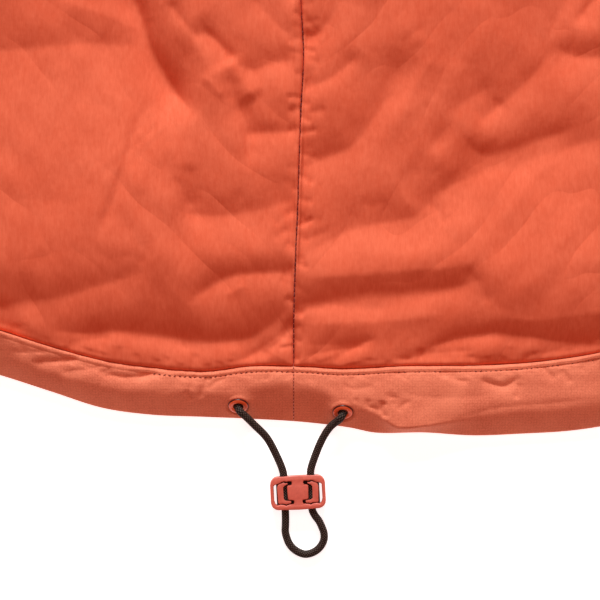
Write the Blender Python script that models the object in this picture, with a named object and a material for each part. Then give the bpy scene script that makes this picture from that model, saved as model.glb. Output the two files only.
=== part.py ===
"""Padded jacket laid flat with its back up.

x runs across the back, y from the back hem toward the collar, z up from the table.
Lengths are in millimetres until a mesh is written.
"""
import math
from collections import namedtuple

import bmesh
import bpy
import numpy as np
from mathutils import Matrix, Vector

NAME = "padded_jacket"
MM = 0.001
GAP = 0.3
SHIFT_Y = -382.2

# Layers
PART_Z = 10.0
SKIN = 0.15
FLOOR_LIFT = 0.4
BACK_LOFT = 11.0
FRONT_TOP = PART_Z - SKIN
TAIL_RAMP = 28.0
TAIL_LEAD = 8.0

# Body outline
HALF_HEM = 267.0
UNDERARM_Y = 455.0
NECK_HALF = 92.0
NECK_POINT_Y = 716.0
SHOULDER_X = 235.0
SHOULDER_Y = 672.0
BACK_NECK_Y = 700.0
FRONT_NECK_Y = 640.0
FRONT_NECK_POWER = 2.2
FRONT_EDGE_X = 5.5

# Seam thicknesses and the widths over which the padding fills out
SEAM_CENTRE = (8.5, 16.0)
SEAM_HEM = (8.2, 9.0)
SEAM_SIDE = (1.5, 20.0)
SEAM_ARMHOLE = (5.0, 16.0)
SEAM_NECK = (5.0, 14.0)
SEAM_SHOULDER = (1.5, 18.0)
SEAM_FRONT_HEM = (6.0, 8.0)

# Hem band
BAND_LOFT = 10.0
BAND_FALL = 13.0
BAND_EDGE = 1.5
CHANNEL_HEIGHT = 3.7
FRONT_BAND_WIDTH = 24.0
# Section of the front band from its seam: share of its width, drop of its top, lift of its underside
FRONT_BAND_TOP = ((0, 0), (0.25, 0.1), (0.5, 0.3), (0.86, 0.9), (1, 4.4))
FRONT_BAND_UNDER = ((1, 3.6), (0.86, 0.7), (0.7, 0), (0.25, 1.0), (0, 3.85))

# Sleeves and cuffs
CUFF_INNER = (531.0, 90.0)
CUFF_OUTER = (628.5, 129.4)
CUFF_WIDTH = 24.0
CUFF_LOFT = 4.6
SLEEVE_SEAM_END = (3.6, 14.0)
SLEEVE_SLIT = (0.035, 0.965)
# Pull of the sleeve's edges at its two ends, and its direction at the cuff: underarm, added outside
SLEEVE_LEAVE = (440.0, 190.0)
SLEEVE_ARRIVE = (440.0, 350.0)
SLEEVE_TURN = (-56.0, -12.0)

# Collar
COLLAR_BACK_TOP = 768.0
COLLAR_SIDE_TOP = 772.0
COLLAR_FRONT_TOP = 708.0
COLLAR_HALF_WALL = 3.9
COLLAR_LOW_Z = 4.3
COLLAR_HIGH_Z = 15.0
# Section of the collar's wall: share of its height, distance from its middle
COLLAR_SECTION = (
    (0, 2.5), (0.08, 3.6), (0.5, 3.9), (0.86, 3.6), (0.97, 2.6), (1, 1.2),
    (1, -1.2), (0.97, -2.6), (0.86, -3.6), (0.5, -3.9), (0.08, -3.6), (0, -2.5),
)

# Zip, in its valley at the centre front
ZIP_TAPE_IN = 2.6
ZIP_TAPE_OUT = 13.5
ZIP_TAPE_Z = (6.55, 7.55)
ZIP_CHAIN_HALF = 2.3
ZIP_CHAIN_Z = (5.8, 8.3)
ZIP_VALLEY_TOP = 6.25
ZIP_VALLEY_LOW = 4.2
SLIDER_Y = 694.0
PULL_Z = 3.4
PULL_LENGTH = 24.0

# Drawcord, eyelets and lock
CORD_DIAMETER = 3.2
EYELET_OUTER = 4.6
EYELET_HOLE = 1.95
EYELET_TILT = math.radians(46.0)
EYELET_SINK = 0.5
EYELETS = ((-25.1, 6.2), (21.1, 3.5))
LOCK_CENTRE = (1.3, -32.1, 3.3)
LOCK_TURN = math.radians(3.0)
LOCK_SIZE = (24.4, 15.2, 6.4)
LOCK_BORE_X = 6.05
LOCK_BORE = 1.9

# Lower edge of the back hem band: x, y
HEM_LOW = (
    (-267, 60), (-240, 52), (-200, 40), (-160, 28), (-129.8, 19.4), (-107.8, 12.3),
    (-85.8, 5.3), (-63.8, 2.2), (-41.8, 1.3), (-19.8, 0.4), (2.2, -0.9), (24.2, -3.5),
    (35.2, -5.7), (57.2, -5.7), (79.2, -7.0), (101.2, -6.2), (123.2, -4.8), (145, -1.2),
    (165, 4.5), (190, 14), (220, 27), (250, 43), (267, 52),
)
# Seam between the back panels and their band: x, y
HEM_HIGH = (
    (-267, 84), (-200, 62), (-160, 49.5), (-129.8, 39.6), (-103.4, 31.2), (-83, 26),
    (-63.8, 23.3), (-38.7, 21.6), (-20.2, 23.8), (2.2, 23.8), (21.6, 22.7),
    (44.4, 23.8), (90.6, 24.6), (111.8, 26.4), (134.2, 29.9), (165, 38), (200, 50),
    (235, 65), (267, 80),
)
# Lower edge of the front hem band: x, y
FRONT_LOW = ((-267, 60), (-130, 62), (0, 62), (130, 59), (267, 53))
# Centre back seam: y, x
CENTRE_SEAM = (
    (20, -0.6), (50, -0.4), (97, 1.3), (137, 2.6), (158, 3.7), (186, 2.6),
    (300, 1.0), (450, 0.4), (710, 0.0),
)
# Side seam: y, half width
SIDE_SEAM = ((45, 267), (90, 266.5), (150, 268), (250, 270), (350, 276), (420, 282), (455, 285))
# Armhole: y, half width
ARMHOLE = ((455, 285), (478, 258), (512, 236), (560, 222), (610, 219), (645, 226), (672, 235))

Fold = namedtuple("Fold", "path depth wide narrow")
# Valleys of the back. The wide slope lies to the left of each path.
LEFT_FOLDS = (
    Fold(((-86, 226), (-70.8, 185.2), (-65.6, 168.5), (-57.2, 152.2), (-41.4, 134)), 6.0, 14, 6),
    Fold(((-170, 158), (-129.8, 161.5), (-107.8, 162.8), (-85.8, 165), (-62, 166)), 4.0, 15, 7),
    Fold(((-38, 168), (-28.6, 158), (-17.6, 154.4), (-6.6, 156.2), (10, 160)), 4.0, 10, 6),
    Fold(((-20.2, 110), (-19.8, 125.8), (-18.9, 137.7), (-29, 158)), 3.0, 8, 6),
    Fold(((-55, 108), (-46.2, 95), (-39.6, 91.5), (-19.8, 92), (12, 99)), 3.5, 13, 7),
    Fold(((-44, 56), (-33, 60.7), (-22, 65.1), (14, 66)), 2.6, 9, 6),
    Fold(((-100, 41), (-77, 38.7), (-59.4, 35.6), (-39.6, 34.3), (-13.2, 41.8), (4, 51)), 4, 14, 6),
    Fold(((-165, 49), (-129.8, 53.2), (-98, 52.4), (-80, 59)), 3.5, 18, 8),
    Fold(((-255, 128), (-205, 116), (-150, 120)), 3.0, 14, 8),
    Fold(((-262, 214), (-215, 226), (-150, 216), (-110, 222)), 3.5, 16, 8),
    Fold(((-205, 300), (-130, 284), (-55, 292)), 3.2, 15, 8),
    Fold(((-272, 402), (-226, 388), (-170, 380)), 3.4, 15, 8),
    Fold(((-150, 424), (-70, 408), (10, 412)), 3.0, 16, 8),
    Fold(((-120, 536), (-160, 562), (-212, 606)), 3.0, 14, 8),
    Fold(((-95, 610), (-50, 600), (12, 606)), 2.6, 14, 8),
)
RIGHT_FOLDS = (
    Fold(((-4, 108), (22, 119.2), (28.6, 130.2), (46.2, 164.1), (56, 188), (60, 220)), 3.6, 11, 7),
    Fold(((-4, 72), (15.4, 79.6), (54.1, 89.8), (60, 98), (77, 106.9), (92, 118)), 4.5, 18, 7),
    Fold(((70, 130), (81.4, 122.3), (90.2, 119.2), (103.4, 122.8), (130, 131)), 3.2, 10, 7),
    Fold(((76, 131), (85.8, 134.6), (110, 161), (120, 185.2), (134, 226), (138, 250)), 3.6, 16, 8),
    Fold(((106, 163), (123.2, 160.6), (134.2, 163.2), (158, 168)), 2.5, 9, 7),
    Fold(((-8, 53), (24.2, 54.6), (46.2, 57.2), (84, 62)), 4.0, 10, 6),
    Fold(((38, 27), (67.8, 34.3), (90.2, 38.7), (116.6, 36.5), (152, 42)), 2.8, 9, 6),
    Fold(((-4, 33), (18, 33), (40, 38)), 1.8, 8, 6),
    Fold(((150, 66), (205, 84), (258, 96)), 3.0, 15, 8),
    Fold(((60, 252), (125, 262), (196, 286)), 3.4, 16, 8),
    Fold(((140, 330), (205, 348), (268, 352)), 3.2, 15, 8),
    Fold(((-10, 384), (75, 372), (150, 392)), 3.0, 16, 8),
    Fold(((-10, 500), (65, 492), (120, 504)), 2.8, 15, 8),
    Fold(((206, 620), (168, 574), (118, 540)), 3.0, 14, 8),
)
LEFT_SLEEVE_FOLDS = (
    Fold(((-348, 560), (-300, 570), (-246, 560)), 3.0, 14, 8),
    Fold(((-430, 470), (-372, 452), (-312, 470)), 3.4, 15, 8),
    Fold(((-508, 372), (-452, 340), (-392, 352)), 3.2, 14, 8),
    Fold(((-545, 300), (-500, 282), (-442, 268)), 2.8, 13, 8),
    Fold(((-596, 190), (-548, 196), (-496, 178)), 2.8, 12, 8),
)
RIGHT_SLEEVE_FOLDS = (
    Fold(((244, 590), (296, 580), (352, 596)), 3.2, 14, 8),
    Fold(((322, 436), (384, 438), (436, 470)), 3.0, 15, 8),
    Fold(((404, 372), (452, 380), (500, 400)), 3.2, 13, 8),
    Fold(((452, 262), (500, 250), (560, 280)), 3.0, 14, 8),
    Fold(((505, 168), (560, 172), (604, 198)), 2.6, 12, 8),
)

# Grid lines of the panels: distances from the inner edge and from the hem seam
BACK_COLUMNS = (0, 4, 10, 20, 33, 47, 61, 76, 91, 107, 123, 142, 165, 190, 215, 237, 254, 263, 267)
BACK_ROWS = (0, 4, 10, 18, 28, 39, 51, 64, 78, 93, 109, 126, 145, 168, 200, 245, 300, 360, 405)
BACK_ROW_SPAN = 431
FRONT_COLUMNS = (0, 3.5, 8, 13, 18, 25, 50, 90, 130, 170, 205, 232, 250, 258, 261.5)
FRONT_ROWS = (0, 3, 8, 30, 80, 140, 200, 270, 330, 358)
FRONT_ROW_SPAN = 371
UNDERARM_SHARE = 0.638
# Where the same grid lines meet the neckline and the shoulder
BACK_TOP_X = (0, 4, 10, 20, 30, 41, 52, 63, 73, 83, 92, 108, 128, 150, 172, 192, 212, 228, 235)
FRONT_TOP_X = (5.5, 9, 13, 17, 24, 38, 54, 70, 83, 92, 120, 160, 200, 225, 235)
ARMHOLE_STEPS = (0, 0.05, 0.13, 0.25, 0.4, 0.55, 0.7, 0.83, 0.92, 0.97, 1)
SLEEVE_STATIONS = (0, 0.008, 0.025, 0.07, 0.16, 0.28, 0.41, 0.54, 0.68, 0.82, 0.94, 0.985, 1)
# Direction in which the sleeve leaves the armhole: share from the underarm, degrees
SLEEVE_START = ((0, -42), (0.05, -30), (0.13, -26), (0.25, -20), (0.55, -13), (0.83, -20), (1, -28))
BAND_STEPS = (0, 0.1, 0.27, 0.42, 0.56, 0.7, 0.83, 0.93, 1)
BAND_UNDER_STEPS = (0.97, 0.8, 0.3, 0)

# Drawcord in the open, either side of the lock: x, y, z
CORD_DOWN = ((-21.6, 1.6, 8.7), (-17.6, -2.4, 7.4), (-12.8, -7.4, 5.7), (-8.6, -15.0, 3.9))
CORD_LOOP = (
    (-4.2, -45.2, 2.8), (-4.2, -50.6, 2.0), (-1.4, -56.7, 1.75), (4.6, -59.8, 1.7),
    (10.4, -57.4, 1.75), (13.0, -52.2, 2.0), (11.0, -45.6, 2.7),
)
CORD_UP = ((9.2, -15.2, 3.9), (12.4, -7.8, 5.2), (15.6, -2.9, 6.6), (18.3, -0.6, 7.7))
CORD_POINTS = 76


def smooth(t):
    """Ease from 0 to 1."""
    t = np.clip(t, 0.0, 1.0)
    return t * t * (3.0 - 2.0 * t)


def swell(t):
    """Quarter ellipse from 0 to 1."""
    t = np.clip(t, 0.0, 1.0)
    return np.sqrt(1.0 - (1.0 - t) ** 2)


def along(rows, x):
    """Smooth curve through rows of (x, y), straight beyond its ends."""
    xs, ys = np.array(rows, dtype=float).T
    x = np.asarray(x, dtype=float)
    steps = np.diff(ys) / np.diff(xs)
    slopes = np.concatenate((steps[:1], 0.5 * (steps[1:] + steps[:-1]), steps[-1:]))
    k = np.clip(np.searchsorted(xs, x) - 1, 0, len(steps) - 1)
    width = xs[k + 1] - xs[k]
    t = np.clip((x - xs[k]) / width, 0.0, 1.0)
    curve = ys[k] * (1 + 2 * t) * (1 - t) ** 2 + ys[k + 1] * t * t * (3 - 2 * t)
    curve = curve + width * (slopes[k] * t * (1 - t) ** 2 - slopes[k + 1] * t * t * (1 - t))
    before = np.minimum(x - xs[0], 0.0) * slopes[0]
    beyond = np.maximum(x - xs[-1], 0.0) * slopes[-1]
    return curve + before + beyond


def half_width(y):
    """Half width of the body, by its side seam or its armhole."""
    return np.where(y <= UNDERARM_Y, along(SIDE_SEAM, y), along(ARMHOLE, y))


def back_neck(x):
    """Height of the back neckline."""
    share = np.minimum(np.abs(x) / NECK_HALF, 1.0) ** 2
    return BACK_NECK_Y + (NECK_POINT_Y - BACK_NECK_Y) * share


def front_neck(x):
    """Height of the front neckline."""
    share = np.minimum(np.abs(x) / NECK_HALF, 1.0) ** FRONT_NECK_POWER
    return FRONT_NECK_Y + (NECK_POINT_Y - FRONT_NECK_Y) * share


def shoulder(x):
    """Height of the shoulder line."""
    share = (np.abs(x) - NECK_HALF) / (SHOULDER_X - NECK_HALF)
    return NECK_POINT_Y + (SHOULDER_Y - NECK_POINT_Y) * share


def back_hem(x):
    """Seam of the back panels with their band."""
    return along(HEM_HIGH, x)


def front_hem(x):
    """Seam of the front panels with their band."""
    return along(FRONT_LOW, x) + FRONT_BAND_WIDTH


def base_z(x, y):
    """Underside of the back layer: on the fronts, and down on the table at the tail."""
    rise = PART_Z + SKIN - FLOOR_LIFT
    from_hem = y - along(FRONT_LOW, x) + TAIL_LEAD
    return FLOOR_LIFT + rise * smooth(from_hem / TAIL_RAMP + 1.0)


def filled(distance, seam, loft):
    """Thickness at a distance from a seam, given as its thickness and its reach."""
    return seam[0] + (loft - seam[0]) * swell(distance / seam[1])


def body_edges(x, y, neck, hem, hem_seam):
    """Distances from the outer seams of a body panel, each with its seam sizes."""
    under = smooth((y - UNDERARM_Y + 12) / 24)
    outer = smooth((np.abs(x) - NECK_HALF + 10) / 20)
    side = tuple(a + (b - a) * under for a, b in zip(SEAM_SIDE, SEAM_ARMHOLE))
    top = tuple(a + (b - a) * outer for a, b in zip(SEAM_NECK, SEAM_SHOULDER))
    height = np.where(np.abs(x) <= NECK_HALF, neck(x), shoulder(x))
    return [(half_width(y) - np.abs(x), side), (height - y, top), (y - hem(x), hem_seam)]


def fold_depth(folds, x, y):
    """Sum of soft valleys, each with a wide and a narrow slope."""
    total = np.zeros_like(x)
    for fold in folds:
        path = np.array(fold.path, dtype=float)
        steps = np.diff(path, axis=0)
        lengths = np.hypot(steps[:, 0], steps[:, 1])
        starts = np.concatenate(([0.0], np.cumsum(lengths)))
        best = np.full(x.shape, 1e9)
        side = np.zeros_like(x)
        run = np.zeros_like(x)
        for k, step in enumerate(steps):
            dx = x - path[k, 0]
            dy = y - path[k, 1]
            share = np.clip((dx * step[0] + dy * step[1]) / lengths[k] ** 2, 0.0, 1.0)
            distance = np.hypot(dx - share * step[0], dy - share * step[1])
            nearer = distance < best
            best = np.where(nearer, distance, best)
            side = np.where(nearer, step[0] * dy - step[1] * dx, side)
            run = np.where(nearer, starts[k] + share * lengths[k], run)
        width = np.where(side > 0, fold.wide, fold.narrow)
        ends = smooth(run / starts[-1] / 0.22) * smooth((1.0 - run / starts[-1]) / 0.22)
        total = total - fold.depth * ends * np.exp(-(best / width) ** 1.5)
    return total


def back_top(x, y):
    """Upper surface of the back panels."""
    edges = body_edges(x, y, back_neck, back_hem, SEAM_HEM)
    edges.append((np.abs(x - along(CENTRE_SEAM, y)), SEAM_CENTRE))
    loft = np.minimum.reduce([filled(d, seam, BACK_LOFT) for d, seam in edges])
    fade = np.prod([smooth(d / 12.0) for d, _ in edges], axis=0)
    left = fold_depth(LEFT_FOLDS, x, y)
    right = fold_depth(RIGHT_FOLDS, x, y)
    folds = np.where(x < along(CENTRE_SEAM, y), left, right)
    return base_z(x, y) + loft + fade * folds


def zip_top(x):
    """Upper limit of the front pieces, lower where the zip tape lies on them."""
    drop = FRONT_TOP - ZIP_VALLEY_TOP
    return FRONT_TOP - drop * (1.0 - smooth((np.abs(x) - 16.0) / 10.0))


def zip_low(x):
    """Lower limit of the front pieces, raised beside the zip."""
    return ZIP_VALLEY_LOW * (1.0 - swell((np.abs(x) - FRONT_EDGE_X) / 18.0))


def front_low(x, y):
    """Lower surface of the front panels, flat on the table."""
    edges = body_edges(x, y, front_neck, front_hem, SEAM_FRONT_HEM)
    loft = np.minimum.reduce([filled(d, seam, FRONT_TOP) for d, seam in edges])
    return np.maximum(zip_low(x), FRONT_TOP - loft)


def armhole_points(shares, gap):
    """Points of the right armhole from underarm to shoulder, moved out by a gap."""
    heights = np.linspace(UNDERARM_Y, SHOULDER_Y, 241)
    curve = np.stack((along(ARMHOLE, heights), heights), axis=1)
    lengths = np.concatenate(([0.0], np.cumsum(np.hypot(*np.diff(curve, axis=0).T))))
    at = np.array(shares) * lengths[-1]
    points = np.stack([np.interp(at, lengths, curve[:, k]) for k in range(2)], axis=1)
    ahead = np.gradient(curve, lengths, axis=0)
    heading = np.stack([np.interp(at, lengths, ahead[:, k]) for k in range(2)], axis=1)
    heading /= np.hypot(heading[:, 0], heading[:, 1])[:, None]
    return points + gap * np.stack((heading[:, 1], -heading[:, 0]), axis=1)


def panel_plan(side, columns, rows, row_span, top_x, inner, hem, neck):
    """Plan grid of a half body inside its inner edge, side, hem seam and neckline."""
    u = np.array(columns, dtype=float) / columns[-1]
    below = np.array(rows, dtype=float) / row_span
    steps = np.array(ARMHOLE_STEPS)
    v = np.concatenate((UNDERARM_SHARE * below, UNDERARM_SHARE + (1 - UNDERARM_SHARE) * steps))
    hem_in = hem(0.0)
    heights = hem_in + v * (neck(0.0) - hem_in)
    left = np.stack((inner(heights), heights), axis=1)
    hem_out = hem(side * HALF_HEM)
    seam = hem_out + below * (UNDERARM_Y - hem_out)
    arm = armhole_points(steps, 0.0)
    right = np.concatenate((np.stack((half_width(seam), seam), axis=1), arm))
    right[:, 0] *= side
    low_x = left[0, 0] + u * (right[0, 0] - left[0, 0])
    low = np.stack((low_x, hem(low_x)), axis=1)
    low[0] = left[0]
    top_x = side * np.array(top_x, dtype=float)
    top_y = np.where(np.abs(top_x) < NECK_HALF, neck(top_x), shoulder(top_x))
    high = np.stack((top_x, top_y), axis=1)
    high[0] = left[-1]
    u = u[None, :, None]
    v = v[:, None, None]
    plan = (1 - u) * left[:, None] + u * right[:, None] + (1 - v) * low[None] + v * high[None]
    plan = plan - (1 - u) * (1 - v) * low[0] - u * (1 - v) * low[-1]
    plan = plan - (1 - u) * v * high[0] - u * v * high[-1]
    return plan[..., 0], plan[..., 1]


def world(points):
    """Millimetre points in the frame of the part."""
    points = np.asarray(points, dtype=float) + np.array((0.0, SHIFT_Y, 0.0))
    return points * MM


def finish(bm, name, material, smooth_shade=True):
    """Closed mesh object from a bmesh."""
    bmesh.ops.recalc_face_normals(bm, faces=bm.faces[:])
    mesh = bpy.data.meshes.new(name)
    bm.to_mesh(mesh)
    bm.free()
    mesh.materials.append(material)
    for polygon in mesh.polygons:
        polygon.use_smooth = smooth_shade
    obj = bpy.data.objects.new(name, mesh)
    PARTS.objects.link(obj)
    return obj


def slab(name, material, x, y, low, high):
    """Closed padded panel over a plan grid."""
    bm = bmesh.new()
    rows, columns = x.shape
    bmesh.ops.create_grid(bm, x_segments=columns - 1, y_segments=rows - 1, size=1.0)
    made = bmesh.ops.extrude_face_region(bm, geom=bm.faces[:])
    upper = {item for item in made["geom"] if isinstance(item, bmesh.types.BMVert)}
    for vert in bm.verts:
        i = round((vert.co.x + 1.0) / 2.0 * (columns - 1))
        j = round((vert.co.y + 1.0) / 2.0 * (rows - 1))
        z = high[j, i] if vert in upper else low[j, i]
        vert.co = world((x[j, i], y[j, i], z))
    return finish(bm, name, material)


def loft(name, material, outer, inner=None):
    """Closed piece through rings of points, with an inner slit where one is given."""
    bm = bmesh.new()
    shells = [outer] if inner is None else [outer, inner]
    verts = []
    for shell in shells:
        verts.append([[bm.verts.new(point) for point in world(ring)] for ring in shell])
    count = len(outer[0])
    for rings in verts:
        for first, second in zip(rings[:-1], rings[1:]):
            for k in range(count):
                m = (k + 1) % count
                bm.faces.new((first[k], first[m], second[m], second[k]))
    for end in (0, -1):
        if inner is None:
            bm.faces.new(verts[0][end])
            continue
        for k in range(count):
            m = (k + 1) % count
            bm.faces.new((verts[0][end][k], verts[0][end][m], verts[1][end][m], verts[1][end][k]))
    bmesh.ops.triangulate(bm, faces=[face for face in bm.faces if len(face.verts) > 4])
    return finish(bm, name, material)


def fabric(name, colour, roughness):
    """Plain principled material."""
    material = bpy.data.materials.new(name)
    material.use_nodes = True
    shader = material.node_tree.nodes["Principled BSDF"]
    shader.inputs["Base Color"].default_value = (*colour, 1.0)
    shader.inputs["Roughness"].default_value = roughness
    shader.inputs["Metallic"].default_value = 0.0
    return material


def cut(target, cutter):
    """Subtract a cutter and keep it aside."""
    bpy.context.view_layer.update()
    modifier = target.modifiers.new("cut", "BOOLEAN")
    modifier.operation = "DIFFERENCE"
    modifier.solver = "EXACT"
    modifier.object = cutter


def as_cutter(obj):
    """Move an object to the cutters."""
    PARTS.objects.unlink(obj)
    CUTTERS.objects.link(obj)
    obj.hide_render = True
    obj.display_type = "WIRE"
    return obj


def body_panels():
    """Back and front halves."""
    for side, word in ((-1, "left"), (1, "right")):
        x, y = panel_plan(
            side, BACK_COLUMNS, BACK_ROWS, BACK_ROW_SPAN, BACK_TOP_X,
            lambda h, side=side: along(CENTRE_SEAM, h) + side * GAP / 2, back_hem, back_neck,
        )
        slab("back_" + word, SHELL, x, y, base_z(x, y), back_top(x, y))
        x, y = panel_plan(
            side, FRONT_COLUMNS, FRONT_ROWS, FRONT_ROW_SPAN, FRONT_TOP_X,
            lambda h, side=side: side * FRONT_EDGE_X + 0 * h, front_hem, front_neck,
        )
        slab("front_" + word, SHELL, x, y, front_low(x, y), zip_top(x))


def band_height(from_seam, from_edge):
    """Height of the casing over its underside, full in the middle and falling to the edge."""
    rise = np.minimum(from_edge / BAND_FALL, 1.0) * math.pi / 2
    edge = BAND_EDGE + (BAND_LOFT - BAND_EDGE) * np.sin(rise) ** 0.9
    return np.minimum(filled(from_seam, (SEAM_HEM[0], 6.0), BAND_LOFT), edge)


def back_bands():
    """Hem casings of the back with the channel for the cord."""
    bands = []
    for side, word in ((-1, "left"), (1, "right")):
        inner = float(along(CENTRE_SEAM, back_hem(0.0))) + side * GAP / 2
        x = inner + np.array(BACK_COLUMNS) / BACK_COLUMNS[-1] * (side * HALF_HEM - inner)
        outer_rings = []
        inner_rings = []
        for at in x:
            high = float(back_hem(at)) - GAP
            low = float(along(HEM_LOW, at))
            width = high - low
            side_fill = float(swell((HALF_HEM + 1.0 - abs(at)) / 14.0))
            ring = []
            for share in BAND_STEPS:
                y = high - share * width
                rise = float(band_height(share * width, (1 - share) * width))
                ring.append((at, y, float(base_z(at, y)) + rise * (0.35 + 0.65 * side_fill)))
            for share in BAND_UNDER_STEPS:
                y = high - share * width
                lift = 0.7 * (1.0 - float(swell((1 - share) * width / 4.0)))
                ring.append((at, y, float(base_z(at, y)) + lift))
            outer_rings.append(ring)
            slit = []
            for _, y, z in ring:
                share = (high - y) / width
                place = high - width * (0.2 + 0.42 * share)
                middle = 4.7 * (0.35 + 0.65 * side_fill)
                half = 0.5 * CHANNEL_HEIGHT * (0.3 + 0.7 * side_fill)
                upper = len(slit) < len(BAND_STEPS)
                level = float(base_z(at, place)) + middle
                slit.append((at, place, level + (half if upper else -half)))
            inner_rings.append(slit)
        bands.append(loft("hem_band_back_" + word, RIPSTOP, outer_rings, inner_rings))
    return bands


def front_bands():
    """Hem bands of the front."""
    for side, word in ((-1, "left"), (1, "right")):
        span = HALF_HEM - FRONT_EDGE_X
        x = side * (FRONT_EDGE_X + np.array(FRONT_COLUMNS) / FRONT_COLUMNS[-1] * span)
        rings = []
        for at in x:
            high = float(front_hem(at)) - GAP
            low = float(along(FRONT_LOW, at))
            fill = float(swell((HALF_HEM + 1.0 - abs(at)) / 14.0))
            ring = []
            for share, drop in FRONT_BAND_TOP:
                y = high - share * (high - low)
                ring.append((at, y, min(float(zip_top(at)), FRONT_TOP - drop)))
            for share, lift in FRONT_BAND_UNDER:
                y = high - share * (high - low)
                low_z = max(lift, FRONT_TOP - (1.5 + (FRONT_TOP - 1.5) * fill))
                ring.append((at, y, max(float(zip_low(at)), low_z)))
            rings.append(ring)
        loft("hem_band_front_" + word, RIPSTOP, rings)


def sleeve_plan(stations, across):
    """Plan grid of the right sleeve from the armhole to the cuff."""
    start = armhole_points(across, GAP)
    across = np.array(across)[:, None]
    end = np.array(CUFF_INNER) + across * (np.array(CUFF_OUTER) - np.array(CUFF_INNER))
    angle = np.radians(along(SLEEVE_START, across[:, 0]))[:, None]
    leave = np.hstack((np.cos(angle), np.sin(angle))) * (SLEEVE_LEAVE[0] + SLEEVE_LEAVE[1] * across)
    turn = np.radians(SLEEVE_TURN[0] + SLEEVE_TURN[1] * across)
    arrive = np.hstack((np.cos(turn), np.sin(turn))) * (SLEEVE_ARRIVE[0] + SLEEVE_ARRIVE[1] * across)
    w = np.array(stations)[:, None, None]
    plan = start * (1 + 2 * w) * (1 - w) ** 2 + end * w * w * (3 - 2 * w)
    return plan + leave * w * (1 - w) ** 2 - arrive * w * w * (1 - w)


def tube_rings(plan, thickness, folds, side):
    """Outer and slit rings of a flattened tube lying on the table."""
    outer_rings = []
    inner_rings = []
    for row, loft_row in zip(plan, thickness):
        x = row[:, 0] * side
        y = row[:, 1]
        up = PART_Z + loft_row
        inside = np.minimum(loft_row / loft_row.max(), 1.0)
        up = up + fold_depth(folds, x, y) * smooth((inside - 0.55) / 0.4)
        down = PART_Z - loft_row
        top = np.stack((x, y, up), axis=1)
        bottom = np.stack((x, y, down), axis=1)[::-1]
        outer_rings.append(np.concatenate((top, bottom[1:-1])))
        shares = np.linspace(SLEEVE_SLIT[0], SLEEVE_SLIT[1], len(row))
        spread = np.linspace(0.0, 1.0, len(row))
        slit_x = np.interp(shares, spread, x)
        slit_y = np.interp(shares, spread, y)
        half = np.where((spread > 0) & (spread < 1), SKIN, 0.0)
        top = np.stack((slit_x, slit_y, PART_Z + half), axis=1)
        bottom = np.stack((slit_x, slit_y, PART_Z - half), axis=1)[::-1]
        inner_rings.append(np.concatenate((top, bottom[1:-1])))
    return outer_rings, inner_rings


def tube_thickness(plan, first, last, loft_z):
    """Half thickness of a flattened tube, round at its folded edges and pinched at its ends."""
    step = np.hypot(*np.moveaxis(np.diff(plan, axis=1), 2, 0))
    across = np.concatenate((np.zeros((len(plan), 1)), np.cumsum(step, axis=1)), axis=1)
    edge = np.minimum(across, across[:, -1:] - across)
    step = np.hypot(*np.moveaxis(np.diff(plan, axis=0), 2, 0))
    down = np.concatenate((np.zeros((1, plan.shape[1])), np.cumsum(step, axis=0)))
    ends = np.minimum(filled(down, first, loft_z), filled(down[-1:] - down, last, loft_z))
    return 0.6 + (ends - 0.6) * swell(edge / 22.0)


def sleeves():
    """Padded sleeves and their cuffs."""
    across = np.array(ARMHOLE_STEPS)
    plan = sleeve_plan(SLEEVE_STATIONS, across)
    thickness = tube_thickness(plan, SEAM_ARMHOLE, SLEEVE_SEAM_END, PART_Z)
    lead = plan[-1] - plan[-2]
    lead /= np.hypot(lead[:, 0], lead[:, 1])[:, None]
    reaches = (GAP, 3.0, 12.0, CUFF_WIDTH - 3.0, CUFF_WIDTH)
    cuff_plan = np.array([plan[-1] + lead * reach for reach in reaches])
    cuff_thickness = tube_thickness(cuff_plan, SLEEVE_SEAM_END, (1.6, 4.0), CUFF_LOFT)
    for side, word, folds in ((-1, "left", LEFT_SLEEVE_FOLDS), (1, "right", RIGHT_SLEEVE_FOLDS)):
        loft("sleeve_" + word, SHELL, *tube_rings(plan, thickness, folds, side))
        loft("cuff_" + word, RIPSTOP, *tube_rings(cuff_plan, cuff_thickness, (), side))


def neck_line(places, neck, x):
    """Height of the collar's lower edge over a neckline built through its places."""
    places = np.array(places, dtype=float)
    heights = neck(places)
    slope = np.interp(abs(x), places, np.gradient(heights, places))
    x = min(abs(x), NECK_HALF)
    return float(np.interp(x, places, heights) + GAP * 1.1 * math.hypot(1.0, float(slope)))


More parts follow.
